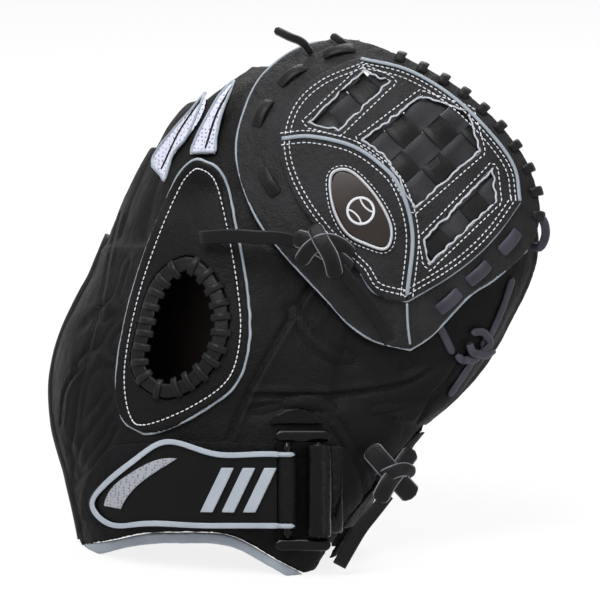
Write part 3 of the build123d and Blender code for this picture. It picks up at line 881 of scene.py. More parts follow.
@dataclass(frozen=True)
class Finish(Surface):
    """A surface made of a coloured body, a fine grain and a coarse relief.

    The colour and the darker shade lie in patches, and the roughness runs with them.
    The grain and the relief are given as the size of a cell and its height.
    """

    colour: str
    shade: str
    roughness: Pair
    grain: Pair
    relief: Pair
    worn: str = ""
    specular: float = 0.5
    patch: ClassVar[float] = 24.0
    patch_ends: ClassVar[dict[str, float]] = {"From Min": 0.3, "From Max": 0.7}
    edge_ends: ClassVar[dict[str, float]] = {"From Min": 0.52, "From Max": 0.62}

    def shader(self, tree: Tree, place: Socket) -> Node:
        """Patches of colour, worn edges, and a bumped face.

        Args:
            tree: The material's tree.
            place: Coordinates of the surface.

        Returns:
            The shader node.
        """
        patches = add(tree, "ShaderNodeTexNoise", {
            "Vector": place, "Scale": per_mm(self.patch), "Detail": 5.0, "Roughness": 0.6}).outputs["Fac"]
        share = add(tree, "ShaderNodeMapRange", {"Value": patches, **self.patch_ends}).outputs[0]
        body = add(tree, "ShaderNodeMix", {0: share, 6: linear(self.shade), 7: linear(self.colour)},
                   data_type="RGBA").outputs[2]
        if self.worn:
            edge = add(tree, "ShaderNodeNewGeometry").outputs["Pointiness"]
            rubbed = add(tree, "ShaderNodeMapRange", {"Value": edge, **self.edge_ends}).outputs[0]
            body = add(tree, "ShaderNodeMix", {0: rubbed, 6: body, 7: linear(self.worn)},
                       data_type="RGBA").outputs[2]
        rough = add(tree, "ShaderNodeMapRange", {"Value": patches, **self.patch_ends,
                                                 "To Min": self.roughness[0], "To Max": self.roughness[1]})
        return add(tree, "ShaderNodeBsdfPrincipled", {
            "Base Color": body, "Roughness": rough.outputs[0], "Specular IOR Level": self.specular,
            "Normal": self.bump(tree, place)})

    def bump(self, tree: Tree, place: Socket) -> Socket:
        """Fine grain over a coarse relief, as a normal.

        Args:
            tree: The material's tree.
            place: Coordinates of the surface.

        Returns:
            The bumped normal.
        """
        (fine, fine_height), (coarse, coarse_height) = self.grain, self.relief
        wide = add(tree, "ShaderNodeTexNoise", {"Vector": place, "Scale": per_mm(coarse), "Detail": 4.0,
                                                "Roughness": 0.55, "Distortion": 0.3}).outputs["Fac"]
        under = add(tree, "ShaderNodeBump", {"Height": wide, "Strength": 1.0, "Distance": coarse_height * MM})
        pebble = add(tree, "ShaderNodeTexVoronoi", {"Vector": place, "Scale": per_mm(fine)},
                     feature="SMOOTH_F1").outputs["Distance"]
        return add(tree, "ShaderNodeBump", {"Height": pebble, "Strength": 1.0, "Normal": under.outputs[0],
                                            "Distance": fine_height * MM}).outputs[0]


@dataclass(frozen=True)
class KnitMesh(Surface):
    """Fabric of yarn round rows of small open holes."""

    yarn: str
    hole: str
    pitch: float
    holes: Pair = (0.22, 0.34)
    relief: float = 0.35

    def shader(self, tree: Tree, place: Socket) -> Node:
        """Yarn that stands over its holes.

        Args:
            tree: The material's tree.
            place: Coordinates of the surface.

        Returns:
            The shader node.
        """
        cells = add(tree, "ShaderNodeTexVoronoi", {"Vector": place, "Scale": per_mm(self.pitch),
                                                   "Randomness": 0.35}).outputs["Distance"]
        low, high = self.holes
        yarn = add(tree, "ShaderNodeMapRange", {"Value": cells, "From Min": low, "From Max": high}).outputs[0]
        colour = add(tree, "ShaderNodeMix", {0: yarn, 6: linear(self.hole), 7: linear(self.yarn)},
                     data_type="RGBA")
        relief = add(tree, "ShaderNodeBump", {"Height": yarn, "Strength": 1.0, "Distance": self.relief * MM})
        return add(tree, "ShaderNodeBsdfPrincipled", {"Base Color": colour.outputs[2], "Roughness": 0.8,
                                                      "Normal": relief.outputs[0]})


# Oiled cowhide, drum dyed black: matt, with a tight pebble and soft highlights on the creases.
SHELL_LEATHER = Finish("oiled_black_cowhide", "#131213", "#0a0a0b", (0.45, 0.68), (0.9, 0.34), (6.0, 0.7),
                       "#222224", 0.1)
# The same hide on the pocket side, pressed smoother by the ball.
PALM_LEATHER = Finish("pressed_black_cowhide", "#151415", "#0c0c0d", (0.42, 0.6), (1.2, 0.1), (9.0, 0.3),
                      "#222224", 0.1)
# Suede side out: the nap catches the light and leaves the leather charcoal.
WEB_LEATHER = Finish("napped_charcoal_cowhide", "#2b2b2d", "#141415", (0.5, 0.75), (0.9, 0.5), (4.5, 1.1),
                     "#414145", 0.16)
# The napped flesh side of the lace, for the weave's cross straps: its pale charcoal is painted light, the
# light that straps running this way catch, while the long straps keep the dark lace.
NAPPED_LACE_PAINTED_LIT = Finish("napped_rawhide_painted_lit", "#3a3a3d", "#1c1c1e", (0.6, 0.8), (0.7, 0.25), (4.0, 0.4),
                     "#55565a", 0.12)
# Thin vegetable-tanned calf inside the hand: dark brown and dull.
LINING_LEATHER = Finish("dark_calf_lining", "#1f1815", "#14100e", (0.6, 0.8), (0.8, 0.08), (8.0, 0.25),
                        specular=0.2)
# Rawhide lace, dyed black and waxed: a little glossier than the shell.
LACE_LEATHER = Finish("waxed_black_rawhide", "#131314", "#0b0b0c", (0.34, 0.5), (0.7, 0.12), (4.0, 0.25),
                      "#2a2a2d", 0.14)
# Knife-cut sides of the lace, where the dye has not gone through.
LACE_EDGE = Finish("undyed_lace_edge", "#8a8c92", "#55575c", (0.6, 0.8), (0.6, 0.1), (3.0, 0.2), specular=0.1)
# Drum-dyed leather burnished to a gloss.
GLOSS_LEATHER = Finish("burnished_black_cowhide", "#0c0c0d", "#080809", (0.16, 0.28), (1.0, 0.05),
                       (8.0, 0.25), specular=0.12)
# Rawhide lace at the thumb, where the dye has rubbed to a violet grey.
RUBBED_LACE = Finish("rubbed_violet_rawhide", "#3a3743", "#1d1b22", (0.42, 0.6), (0.7, 0.1), (4.0, 0.25),
                     "#4b4756", 0.3)
# Coated split leather in pale blue grey: clean, satin, with hardly any grain.
GREY_TRIM = Finish("blue_grey_split_leather", "#9aa2ab", "#848c96", (0.42, 0.55), (0.8, 0.04), (6.0, 0.08),
                   specular=0.35)
# Injection moulded thermoplastic rubber, black with a fine spark-eroded texture.
BLACK_RUBBER = Finish("black_moulded_rubber", "#0f0f10", "#0c0c0d", (0.38, 0.48), (0.4, 0.03), (12.0, 0.05),
                      specular=0.1)
# The same rubber in blue grey.
GREY_RUBBER = Finish("grey_moulded_rubber", "#a2a9b2", "#949ca7", (0.36, 0.46), (0.4, 0.02), (12.0, 0.04),
                     specular=0.4)
# Acetal moulded in a polished tool: smooth, black and glossy.
BUCKLE_PLASTIC = Finish("black_polished_acetal", "#0b0b0c", "#080809", (0.1, 0.18), (3.0, 0.01), (15.0, 0.03),
                        specular=0.14)
# Cut edge of the hide: undyed fibre, pale and rough.
CUT_EDGE = Finish("undyed_cut_edge", "#c3c6cc", "#a2a6ae", (0.7, 0.9), (0.6, 0.12), (3.0, 0.2))
# Bonded polyester thread, three-ply: off-white with a soft sheen.
THREAD = Finish("bonded_white_thread", "#dcdde2", "#c4c6cd", (0.45, 0.6), (0.5, 0.05), (2.0, 0.05))
# Pressed wool felt: grey, loose and fully matt.
FELT = Finish("pressed_wool_felt", "#77736d", "#5f5b56", (0.9, 1.0), (0.6, 0.2), (5.0, 0.3))
# Enamelled patch: very dark brown under a thin satin coat.
BADGE_FIELD = Finish("dark_brown_enamel", "#21150f", "#170e0b", (0.3, 0.42), (0.5, 0.02), (9.0, 0.04),
                     specular=0.35)
# Satin rim and motif of the patch, pale and slightly cool.
BADGE_PALE = Finish("pale_satin_enamel", "#d7d8dc", "#c6c8ce", (0.35, 0.45), (0.5, 0.02), (9.0, 0.03))
# Nylon loop pile: black, matt and springy, coarse enough to show.
PILE = Finish("black_loop_pile", "#18181a", "#0c0c0e", (0.85, 1.0), (1.6, 0.6), (5.0, 0.5), specular=0.15)
# Warp-knitted spacer fabric: pale yarn over darker holes.
KNIT_MESH = KnitMesh("pale_knitted_mesh", "#c9cbdc", "#6d6f80", 2.1)
# Rubber moulded as a mesh of small holes, grey and matt.
MOULDED_MESH = KnitMesh("grey_moulded_mesh", "#9698a0", "#5c5e66", 1.6)


def dress(piece: Piece, *finishes: Surface) -> Piece:
    """Give a piece its finishes in slot order.

    Args:
        piece: The piece to dress.
        finishes: One finish for each material slot.

    Returns:
        The same piece.
    """
    marks = np.zeros(len(piece.data.polygons), np.int32)
    piece.data.polygons.foreach_get("material_index", marks)
    piece.data.materials.clear()
    for finish in finishes:
        piece.data.materials.append(finish.make())
    piece.data.polygons.foreach_set("material_index", marks)
    return piece


@dataclass(frozen=True)
class SoftPart:
    """A part that is a rounded, relaxed copy of its nodes."""

    name: str
    nodes: tuple[str, ...]
    finishes: tuple[Surface, ...]
    slot: Slot
    follows: Body | Bend
    voxel: float
    rounds: int
    swell: float = 0.0
    creases: tuple[Creases, ...] = ()
    fill: float = 0.0

    def shape(self, *joins: Piece) -> Piece:
        """Shape the part.

        Args:
            joins: Gussets that become one with it.

        Returns:
            The part, which is still bare.
        """
        part = merged_copy(self.name, self.nodes)
        if joins:
            part = joined(self.name, [part, *joins])
        remeshed(part, self.voxel, self.rounds, self.swell)
        for creases in self.creases:
            creases.press(part)
        return part

    def finish(self, part: Piece) -> Piece:
        """Dress and seat the shaped part.

        Args:
            part: The shaped part.

        Returns:
            The same part.
        """
        seat(dress(part, *self.finishes), self.follows, self.slot, *self.nodes)
        return part

    def build(self) -> Piece:
        """Shape, dress and seat the part."""
        return self.finish(self.shape())


@dataclass(frozen=True)
class Strip:
    """A cord or a strap swept along a pattern line."""

    name: str
    finish: Surface
    slot: Slot
    follows: Body | Bend
    profile: np.ndarray
    lift: float = 0.0
    closed: bool = False
    taper: int = 0
    nodes: tuple[str, ...] = ()

    def lay(self, carrier: Ground | Dome, line: np.ndarray) -> None:
        """Lay the strip on its carrier, dress it and seat it.

        Args:
            carrier: What it lies on.
            line: Rows of (u, v).
        """
        strip = swept(self.name, *carrier.lay(line, self.lift), self.profile, self.closed, self.taper)
        seat(dress(strip, self.finish), self.follows, self.slot, *self.nodes)


# ---- repeated pieces ----
@dataclass(frozen=True)
class Size:
    """Length, width and thickness of a repeated shape, and how far its ends drop."""

    length: float
    width: float
    thick: float
    bow: float = 0.0


class Repeat(Enum):
    """Shapes that are repeated along a line."""

    STITCH = "stitch_row"
    LOOP = "lace_row"

    def shape(self, tree: Tree, given: bpy.types.bpy_prop_collection) -> Socket:
        """Build one shape at the origin, lying along X.

        Args:
            tree: The tree that gets its nodes.
            given: Sockets with the sizes.

        Returns:
            Its geometry.
        """
        size = add(tree, "ShaderNodeCombineXYZ", {"X": given["Length"], "Y": given["Width"],
                                                  "Z": given["Thickness"]}).outputs[0]
        if self is Repeat.STITCH:
            ball = add(tree, "GeometryNodeMeshIcoSphere", {"Radius": 0.5, "Subdivisions": 2}).outputs[0]
            return add(tree, "GeometryNodeTransform", {"Geometry": ball, "Scale": size}).outputs[0]
        block = add(tree, "GeometryNodeMeshCube", {"Size": size, "Vertices X": 8, "Vertices Y": 3,
                                                   "Vertices Z": 2}).outputs[0]
        place = add(tree, "GeometryNodeInputPosition").outputs[0]
        run = add(tree, "ShaderNodeSeparateXYZ", {0: place}).outputs[0]
        part = add(tree, "ShaderNodeMath", {0: run, 1: given["Length"]}, operation="DIVIDE").outputs[0]
        drop = part
        for factor in (part, given["Bow"], -4.0):
            drop = add(tree, "ShaderNodeMath", {0: drop, 1: factor}, operation="MULTIPLY").outputs[0]
        move = add(tree, "ShaderNodeCombineXYZ", {"Z": drop}).outputs[0]
        bowed = add(tree, "GeometryNodeSetPosition", {"Geometry": block, "Offset": move}).outputs[0]
        return add(tree, "GeometryNodeSubdivisionSurface", {"Mesh": bowed, "Level": 1}).outputs[0]

    def tree(self) -> Tree:
        """Node tree that puts the shape at each point of a mesh.

        Returns:
            The tree, with Length, Width, Thickness, Bow and Finish as its inputs.
        """
        known = bpy.data.node_groups.get(self.value)
        if known:
            return known
        tree = bpy.data.node_groups.new(self.value, "GeometryNodeTree")
        sockets = {"Places": "Geometry", "Length": "Float", "Width": "Float", "Thickness": "Float",
                   "Bow": "Float", "Finish": "Material"}
        for name, kind in sockets.items():
            tree.interface.new_socket(name=name, in_out="INPUT", socket_type=f"NodeSocket{kind}")
        tree.interface.new_socket(name="Pieces", in_out="OUTPUT", socket_type="NodeSocketGeometry")
        given = add(tree, "NodeGroupInput").outputs
        shape = self.shape(tree, given)
        out, along = (add(tree, "GeometryNodeInputNamedAttribute", {"Name": name},
                          data_type="FLOAT_VECTOR").outputs[0] for name in ("out", "along"))
        upright = add(tree, "FunctionNodeAlignRotationToVector", {"Vector": out}, axis="Z").outputs[0]
        turned = add(tree, "FunctionNodeAlignRotationToVector", {"Rotation": upright, "Vector": along},
                     axis="X", pivot_axis="Z").outputs[0]
        placed = add(tree, "GeometryNodeInstanceOnPoints", {"Points": given["Places"], "Instance": shape,
                                                            "Rotation": turned}).outputs[0]
        solid = add(tree, "GeometryNodeRealizeInstances", {0: placed}).outputs[0]
        smooth = add(tree, "GeometryNodeSetShadeSmooth", {0: solid}).outputs[0]
        dressed = add(tree, "GeometryNodeSetMaterial", {"Geometry": smooth, "Material": given["Finish"]})
        add(tree, "NodeGroupOutput", {0: dressed.outputs[0]})
        return tree


@dataclass
class Row:
    """Places of a repeated shape: where, which way is out and which way it runs."""

    points: list[np.ndarray] = field(default_factory=list)
    outs: list[np.ndarray] = field(default_factory=list)
    alongs: list[np.ndarray] = field(default_factory=list)

    def add(self, points: np.ndarray, outs: np.ndarray, alongs: np.ndarray) -> None:
        """Add places to the row.

        Args:
            points: Rows of points in metres.
            outs: Outward direction at each point.
            alongs: Direction in which the shape lies at each point.
        """
        self.points += list(points)
        self.outs += list(outs)
        self.alongs += list(alongs)

    def follow(self, ground: Ground, line: np.ndarray, lift: float, closed: bool = False) -> None:
        """Add one place at each point of a pattern line on a ground, lying along the line.

        Args:
            ground: Faces that carry the row.
            line: Rows of (u, v), one for each place.
            lift: Height over the faces in millimetres.
            closed: Whether the line returns to its start.
        """
        points, outs = ground.lay(line, lift)
        self.add(points, outs, strides(points, closed))

    def trail(self, line: np.ndarray, lift: float) -> None:
        """Add one place at each point of a line on the web's dome, lying towards the next one.

        Args:
            line: Rows of (u, v), one for each place.
            lift: Height over the dome in millimetres.
        """
        points, outs = DOME.lay(line, lift)
        steps = np.diff(points, axis=0)
        self.add(points, outs, np.vstack([steps, steps[-1:]]))

    def repeat(self, name: str, kind: Repeat, size: Size, finish: Finish) -> Piece:
        """Repeat a shape over the places and keep it as a plain mesh.

        Args:
            name: Name of the new piece.
            kind: The shape to repeat.
            size: Its size in millimetres.
            finish: Finish of the shapes.

        Returns:
            The new piece.
        """
        piece = new_piece(name, self.points)
        for label, rows in (("out", self.outs), ("along", self.alongs)):
            values = unit(np.array(rows, np.float32))
            attribute = piece.data.attributes.new(label, "FLOAT_VECTOR", "POINT")
            attribute.data.foreach_set("vector", values.ravel())
        modifier = piece.modifiers.new("repeat", "NODES")
        modifier.node_group = kind.tree()
        values = {"Length": size.length * MM, "Width": size.width * MM, "Thickness": size.thick * MM,
                  "Bow": size.bow * MM, "Finish": finish.make()}
        for item in modifier.node_group.interface.items_tree:
            if item.in_out == "INPUT" and item.name in values:
                modifier[item.identifier] = values[item.name]
        return evaluated(piece)


# ---- panels of the glove ----
@dataclass(frozen=True)
class Slit:
    """Slit up the hinge of the thumb, or across its foot, that a gusset closes."""

    name: str
    up: bool
    ends: Pair
    sides: Pair = (-4.0, 4.0)
    foot: ClassVar[Pair] = (17.0, 98.0)
    tilt: ClassVar[float] = radians(14.5)
    step: ClassVar[float] = 3.0

    def close(self, nodes: Sequence[str], thick: float, from_palm: bool = False) -> Piece:
        """Close the slit with a gusset.

        Args:
            nodes: Names of the nodes on both sides of it.
            thick: Thickness of the gusset in millimetres.
            from_palm: Whether the slit is on the palm side.

        Returns:
            The gusset.
        """
        ways = np.array([(sin(self.tilt), cos(self.tilt)), (cos(self.tilt), -sin(self.tilt))])
        along, aside = ways if self.up else ways[::-1]
        middle = np.array(self.foot) + np.arange(*self.ends, self.step)[:, None] * along
        left, right = (middle + side * aside for side in self.sides)
        return bridge(self.name, Ground(*[NODES[name] for name in nodes]), left, right, thick, from_palm)


@dataclass
class GloveSkin:
    """Outer skin of the glove: modelled whole, then parted where the finger stalls start.

    A seam is a valley beside a raised ridge, and a fold is a wide valley.
    """

    thickness: float = 2.4
    slits: tuple[Slit, ...] = (Slit("hinge_gusset", True, (-3.0, 92.0)),
                               Slit("foot_gusset", False, (-3.0, 80.0)))
    knuckle_v: float = 186.0
    knuckle_slit: Spot = (-111.0, 0.0, 3.0)
    knuckle_sides: Pair = (-3.0, 4.0)
    crotch_u: float = 43.5
    line_step: float = 1.2
    ridge_aside: float = 3.4
    ridge_width: float = 1.8
    ridge_height: float = 0.9
    seam_width: float = 1.4
    fold_width: float = 4.5
    depth: float = 2.2
    skin: SoftPart = SoftPart(
        "hand_shell", ("hand_back", "thumb_back", "hand_edge_welt", "thumb_edge_wall", "thumb_tip_cap"),
        (SHELL_LEATHER,), Slot.SHELL, SHELL_BEND, 1.6, 9, 0.35,
        (Creases(34.0, 0.25, 0.9, (1.0, 1.0, 0.45)), Creases(9.0, 0.22, 0.12, (1.0, 1.0, 1.0), 31.0)))
    finger_nodes: tuple[str, ...] = (
        "index_back", "middle_back", "ring_back", "pinky_back", "index_palm", "middle_palm", "ring_palm",
        "pinky_palm", "finger_walls", "fingertip_caps")
    seams: tuple[Line, ...] = (
        [(8, 164), (-14, 128), (-30, 98), (-39, 76)],
        [(-24, 101), (19, 101), (59, 107), (76, 115)],
        [(-103, 205), (-108, 184), (-113, 155), (-121, 125), (-133, 104), (-136, 84)],
        [(69, 86), (78, 98), (85, 108), (96, 124)],
    )
    folds: tuple[Line, ...] = (
        [(22, 84), (38, 60), (42, 40)],
        [(-128, 52), (-112, 70), (-104, 84)],
        [(-130, 70), (-116, 88), (-108, 100)],
        [(-126, 118), (-116, 124), (-106, 120)],
        [(-122, 142), (-112, 150), (-102, 150)],
        [(-2, 150), (14, 128), (30, 122)],
        [(44, 92), (66, 96), (86, 104)],
        [(-24, 92), (0, 97), (20, 96)],
        [(60, 118), (84, 122), (104, 132)],
        [(-96, 146), (-104, 138), (-112, 124), (-121, 110), (-126, 84), (-128, 58)],
        [(-98, 176), (-104, 158), (-110, 146)],
    )

    def build(self) -> Piece:
        """Build, crease, part and seat the skin.

        Returns:
            The back of the hand and the thumb.
        """
        nodes = self.skin.nodes + self.finger_nodes
        shell = replace(self.skin, nodes=nodes).shape(*self.gussets(nodes))
        self.press_lines(shell)
        stalls = parted(shell, "finger_stalls", DRAFT.spot(self.crotch_u, 0, self.knuckle_v),
                        DRAFT.heading(0, 0, 1), DRAFT.heading(1, 0, 0))
        self.skin.finish(shell)
        seat(dress(stalls, SHELL_LEATHER), Body.HAND, Slot.SHELL, *self.finger_nodes)
        return shell

    def gussets(self, nodes: tuple[str, ...]) -> list[Piece]:
        """Close the slits at the hinge, at its foot and at the knuckles.

        Args:
            nodes: Nodes of the whole skin.

        Returns:
            The gussets.
        """
        made = [slit.close(self.skin.nodes, self.thickness) for slit in self.slits]
        across = np.arange(*self.knuckle_slit)
        low, high = (np.stack([across, np.full_like(across, self.knuckle_v + side)], axis=1)
                     for side in self.knuckle_sides)
        whole = Ground(*[NODES[name] for name in nodes])
        return made + [bridge("knuckle_gusset", whole, low, high, self.thickness)]

    def press_lines(self, shell: Piece) -> None:
        """Press the seams and the folds into the skin.

        Args:
            shell: The skin.
        """
        ground = Ground(shell)
        for line in self.seams:
            seam = smooth_line(line, self.line_step)
            ridge = shifted(seam, self.ridge_aside)
            press_line(shell, ground.lay(ridge)[0], self.ridge_width, -self.ridge_height)
            press_line(shell, ground.lay(seam)[0], self.seam_width, self.depth)
        for line in self.folds:
            press_line(shell, ground.lay(smooth_line(line, self.line_step))[0], self.fold_width, self.depth)


@dataclass
class PalmShell:
    """Pocket face of the hand and thumb: one skin that bends where the thumb closes."""

    thickness: float = 2.8
    slits: tuple[Slit, ...] = (Slit("palm_hinge_gusset", True, (-3.0, 90.0), (-4.0, 16.0)),
                               Slit("palm_foot_gusset", False, (8.0, 72.0)))
    palm: SoftPart = SoftPart(
        "palm_shell", ("palm_leather", "thumb_palm"), (PALM_LEATHER,), Slot.SHELL, SHELL_BEND, 1.9, 6, 0.3,
        (Creases(34.0, 0.6, 0.8, (1.0, 1.0, 1.0), 21.0),))

    def build(self) -> None:
        """Build, crease and seat the palm."""
        gussets = [slit.close(self.palm.nodes, self.thickness, from_palm=True) for slit in self.slits]
        self.palm.finish(self.palm.shape(*gussets))


@dataclass
class EdgeJoins:
    """Side welt and heel gusset, which close the glove between its back and its palm."""

    welt_across: float = 6.8
    welt_flat: float = 0.42
    welt_end: float = 13.0
    welt_levels: float = 10.0
    welt_reach: float = 7.0
    gusset_levels: Spot = (26.0, 82.0, 6.0)
    gusset_reach: float = 4.0
    gusset_inset: float = 0.8
    gusset_thick: float = 2.4
    gusset_bulge: float = 2.0
    columns: int = 7

    def build(self) -> None:
        """Build and seat the welt and the gusset."""
        self.side_welt()
        self.heel_gusset()

    def side_welt(self) -> None:
        """Roll of leather down the little-finger edge of the hand."""
        spots = DRAFT.read(read_points(NODES["hand_edge_welt"])[0])
        levels = np.arange(spots[:, 2].min() + 3, spots[:, 2].max(), self.welt_levels)
        middles = np.array([spots[np.abs(spots[:, 2] - level) < self.welt_reach].mean(0) for level in levels])
        beyond = middles[-1] + (middles[-1] - middles[-2]) / self.welt_levels * self.welt_end
        points = DRAFT.place(smooth_line(np.vstack([middles, beyond]), 2.0))
        outs = np.tile(DRAFT.heading(-1, 0, 0), (len(points), 1))
        welt = swept("side_welt", points, outs, round_profile(self.welt_across, 14, self.welt_flat), taper=3)
        seat(dress(welt, PALM_LEATHER), Body.HAND, Slot.SHELL)

    def heel_gusset(self) -> None:
        """Soft gusset under the thumb, from the edge of the back to the edge of the palm."""
        part = np.linspace(0.0, 1.0, self.columns)[:, None]
        bulge = np.array([self.gusset_bulge, 0.0, 0.0]) * np.sin(pi * part)
        points = []
        for one, two in zip(self.edge("hand_back"), self.edge("palm_leather")):
            outer = one + (two - one) * part + bulge
            points += list(outer) + list(outer[::-1] - np.array([self.gusset_thick, 0.0, 0.0]))
        ring = 2 * self.columns
        whole = new_piece("heel_gusset", DRAFT.place(np.array(points)), ring_faces(len(points) // ring, ring),
                          enclosed=True)
        gusset = remeshed(whole, 1.0, 3, 0.1)
        Creases(14.0, 0.3, 0.6).press(gusset)
        seat(dress(gusset, SHELL_LEATHER), SHELL_BEND, Slot.SHELL)

    def edge(self, node: str) -> np.ndarray:
        """Draft points of a node's thumb-side edge, at the levels of the gusset.

        Args:
            node: Name of the node.

        Returns:
            One point for each level, a little inside the edge.
        """
        spots = DRAFT.read(read_points(NODES[node])[0])
        found = []
        for level in np.arange(*self.gusset_levels):
            near = spots[np.abs(spots[:, 2] - level) < self.gusset_reach]
            found.append((*near[near[:, 0].argmax()][:2], level))
        return np.array(found) - np.array([self.gusset_inset, 0.0, 0.0])


@dataclass
class Inside:
    """Linings, felts and the wrist collar."""

    parts: tuple[SoftPart, ...] = (
        SoftPart("back_lining", ("hand_lining", "thumb_lining"), (LINING_LEATHER,), Slot.LINING, SHELL_BEND,
                 1.2, 2),
        SoftPart("pocket_lining", ("palm_lining",), (LINING_LEATHER,), Slot.LINING, SHELL_BEND, 1.2, 2),
        SoftPart("palm_felts", ("palm_pad", "heel_pad", "thumb_pad"), (FELT,), Slot.FELT, SHELL_BEND, 2.0, 3,
                 fill=0.9),
        SoftPart("padded_wrist_collar", ("wrist_collar",), (LINING_LEATHER,), Slot.LINING, Body.HAND, 1.2, 4,
                 creases=(Creases(14.0, 0.2, 0.4, (1.0, 1.0, 1.0), 5.0),), fill=0.7),
    )

    def build(self) -> None:
        """Build and seat everything inside the shell."""
        for part in self.parts:
            part.build()


# ---- finger hole ----
@dataclass
class FingerHole:
    """Padded trim, rolled rim and whipped lace round the finger hole."""

    outline: Line = (
        (-60, 171), (-49, 157), (-47, 135), (-56, 118), (-75, 108), (-85, 117), (-83, 135), (-77, 157),
        (-69, 168))
    trim: Line = (
        (-55, 234), (-43, 226), (-36, 203), (-29, 165), (-27, 135), (-34, 109), (-55, 92), (-85, 80),
        (-98, 87), (-102, 115), (-95, 155), (-84, 189), (-72, 218), (-64, 230))
    pad: SoftPart = SoftPart("finger_trim_pad", ("finger_hole_pad",), (SHELL_LEATHER,), Slot.SHELL, Body.HAND,
                             0.95, 5, 0.15, (Creases(18.0, 0.15, 0.35, (1.0, 1.0, 0.7), 14.0),), 0.5)
    roll: SoftPart = SoftPart("finger_hole_roll", ("finger_hole_rim",), (LACE_LEATHER,), Slot.SHELL,
                              Body.HAND, 0.9, 6, 0.1)
    piping: float = 0.9
    piping_inset: float = 0.9
    piping_aside: float = 1.85
    piping_sunk: float = 1.2
    seam_inset: float = 4.6
    seam_width: float = 1.0
    seam_depth: float = 0.7
    stitch_pitch: float = 3.1
    stitch: Size = Size(2.4, 0.8, 0.75)
    rim: float = 8.0
    loops: int = 21
    loop: Size = Size(12.5, 4.4, 2.4, 2.6)
    loop_lift: float = 0.6

    def build(self) -> None:
        """Build and seat the trim, its piping, its stitches, the rim and its lace."""
        pad = self.pad.shape()
        ground = Ground(pad)
        edge = smooth_line(self.trim, 1.5, closed=True)
        inward = inner_side(edge)
        seam = shifted(smooth_line(self.trim, self.stitch_pitch, closed=True), inward * self.seam_inset, True)
        press_line(pad, ground.lay(smooth_line(seam, 1.0, closed=True))[0], self.seam_width, self.seam_depth)
        self.pad.finish(pad)
        aside = np.array([-inward * self.piping_aside, -self.piping_sunk])
        profile = (round_profile(self.piping, 12) + aside) * np.array([-1.0, 1.0])
        Strip("finger_trim_piping", GREY_TRIM, Slot.TRIM, Body.HAND, profile, closed=True,
              nodes=("finger_hole_piping",)).lay(ground, shifted(edge, inward * self.piping_inset, True))
        row = Row()
        row.follow(ground, seam, 0.0, closed=True)
        seat(row.repeat("finger_trim_stitches", Repeat.STITCH, self.stitch, THREAD), Body.HAND, Slot.TRIM)
        self.whip(self.roll.build())

    def whip(self, roll: Piece) -> None:
        """Whip a lace round the rim.

        Args:
            roll: The rolled rim.
        """
        run = smooth_line(self.outline, 1.0, closed=True)
        middle = shifted(run, -inner_side(run) * self.rim / 2, True)
        pick = np.linspace(0, len(run), self.loops, endpoint=False).astype(int)
        points, outs = Ground(roll).lay(middle[pick], self.loop_lift)
        alongs = DRAFT.turned(np.insert((middle - run)[pick], 1, 0.0, axis=1))
        row = Row()
        row.add(points, outs, alongs[:len(points)])
        lace = row.repeat("finger_hole_whip_lace", Repeat.LOOP, self.loop, LACE_LEATHER)
        seat(lace, Body.HAND, Slot.LACE, "finger_hole_lacing")


# ---- mesh inserts ----
@dataclass
class MeshInserts:
    """Knitted inserts on the index and middle fingers, bound in grey and stitched.

    Each outline starts at the tip of its insert, and its sixth corner is at the foot.
    """

    index: Line = (
        (-35, 282), (-44, 274), (-52, 260), (-58, 248), (-60.5, 239), (-53, 238.5), (-46, 239), (-45, 247),
        (-42, 261))
    middle: Line = (
        (-52, 275), (-62, 264), (-71, 254), (-82, 240), (-83.5, 233), (-79, 227), (-75, 223), (-70, 238),
        (-61, 250))
    foot: int = 5
    step: float = 1.2
    binding: float = 0.9
    binding_inset: float = 0.8
    seam: float = 0.7
    seam_ends: Pair = (0.08, 0.94)
    seam_bow: Pair = (-1.5, 1.0)
    stitch: Size = Size(1.9, 0.6, 0.6)
    stitch_pitch: float = 2.6
    stitch_aside: float = 2.0

    def build(self) -> None:
        """Build and seat both inserts and their stitches."""
        row = Row()
        for name, outline in (("index", self.index), ("middle", self.middle)):
            self.insert(name, outline, row)
        seat(row.repeat("mesh_stitches", Repeat.STITCH, self.stitch, THREAD), Body.HAND, Slot.TRIM)

    def insert(self, name: str, outline: Line, row: Row) -> None:
        """Build and seat one insert, its binding and its middle seam.

        Args:
            name: Name of the finger.
            outline: Outline of the insert.
            row: Row that gets the places of its stitches.
        """
        panel = SoftPart(f"{name}_mesh_panel", (f"mesh_insert_{name}",), (KNIT_MESH,), Slot.MESH, Body.HAND,
                         0.7, 2).build()
        ground = Ground(panel)
        edge = smooth_line(outline, self.step, closed=True)
        Strip(f"{name}_mesh_binding", GREY_TRIM, Slot.TRIM, Body.HAND, round_profile(self.binding, 8), 0.1,
              closed=True).lay(ground, shifted(edge, inner_side(edge) * self.binding_inset, True))
        tip, foot = np.array(outline[0]), np.array(outline[self.foot])
        start, end = (tip + (foot - tip) * part for part in self.seam_ends)
        middle = smooth_line([start, (tip + foot) / 2 + np.array(self.seam_bow), end], self.step)
        Strip(f"{name}_mesh_seam", SHELL_LEATHER, Slot.SHELL, Body.HAND, round_profile(self.seam, 8), 0.15,
              taper=3).lay(ground, middle)
        for side in (-self.stitch_aside, self.stitch_aside):
            row.follow(ground, shifted(smooth_line(middle, self.stitch_pitch), side), 0.1)


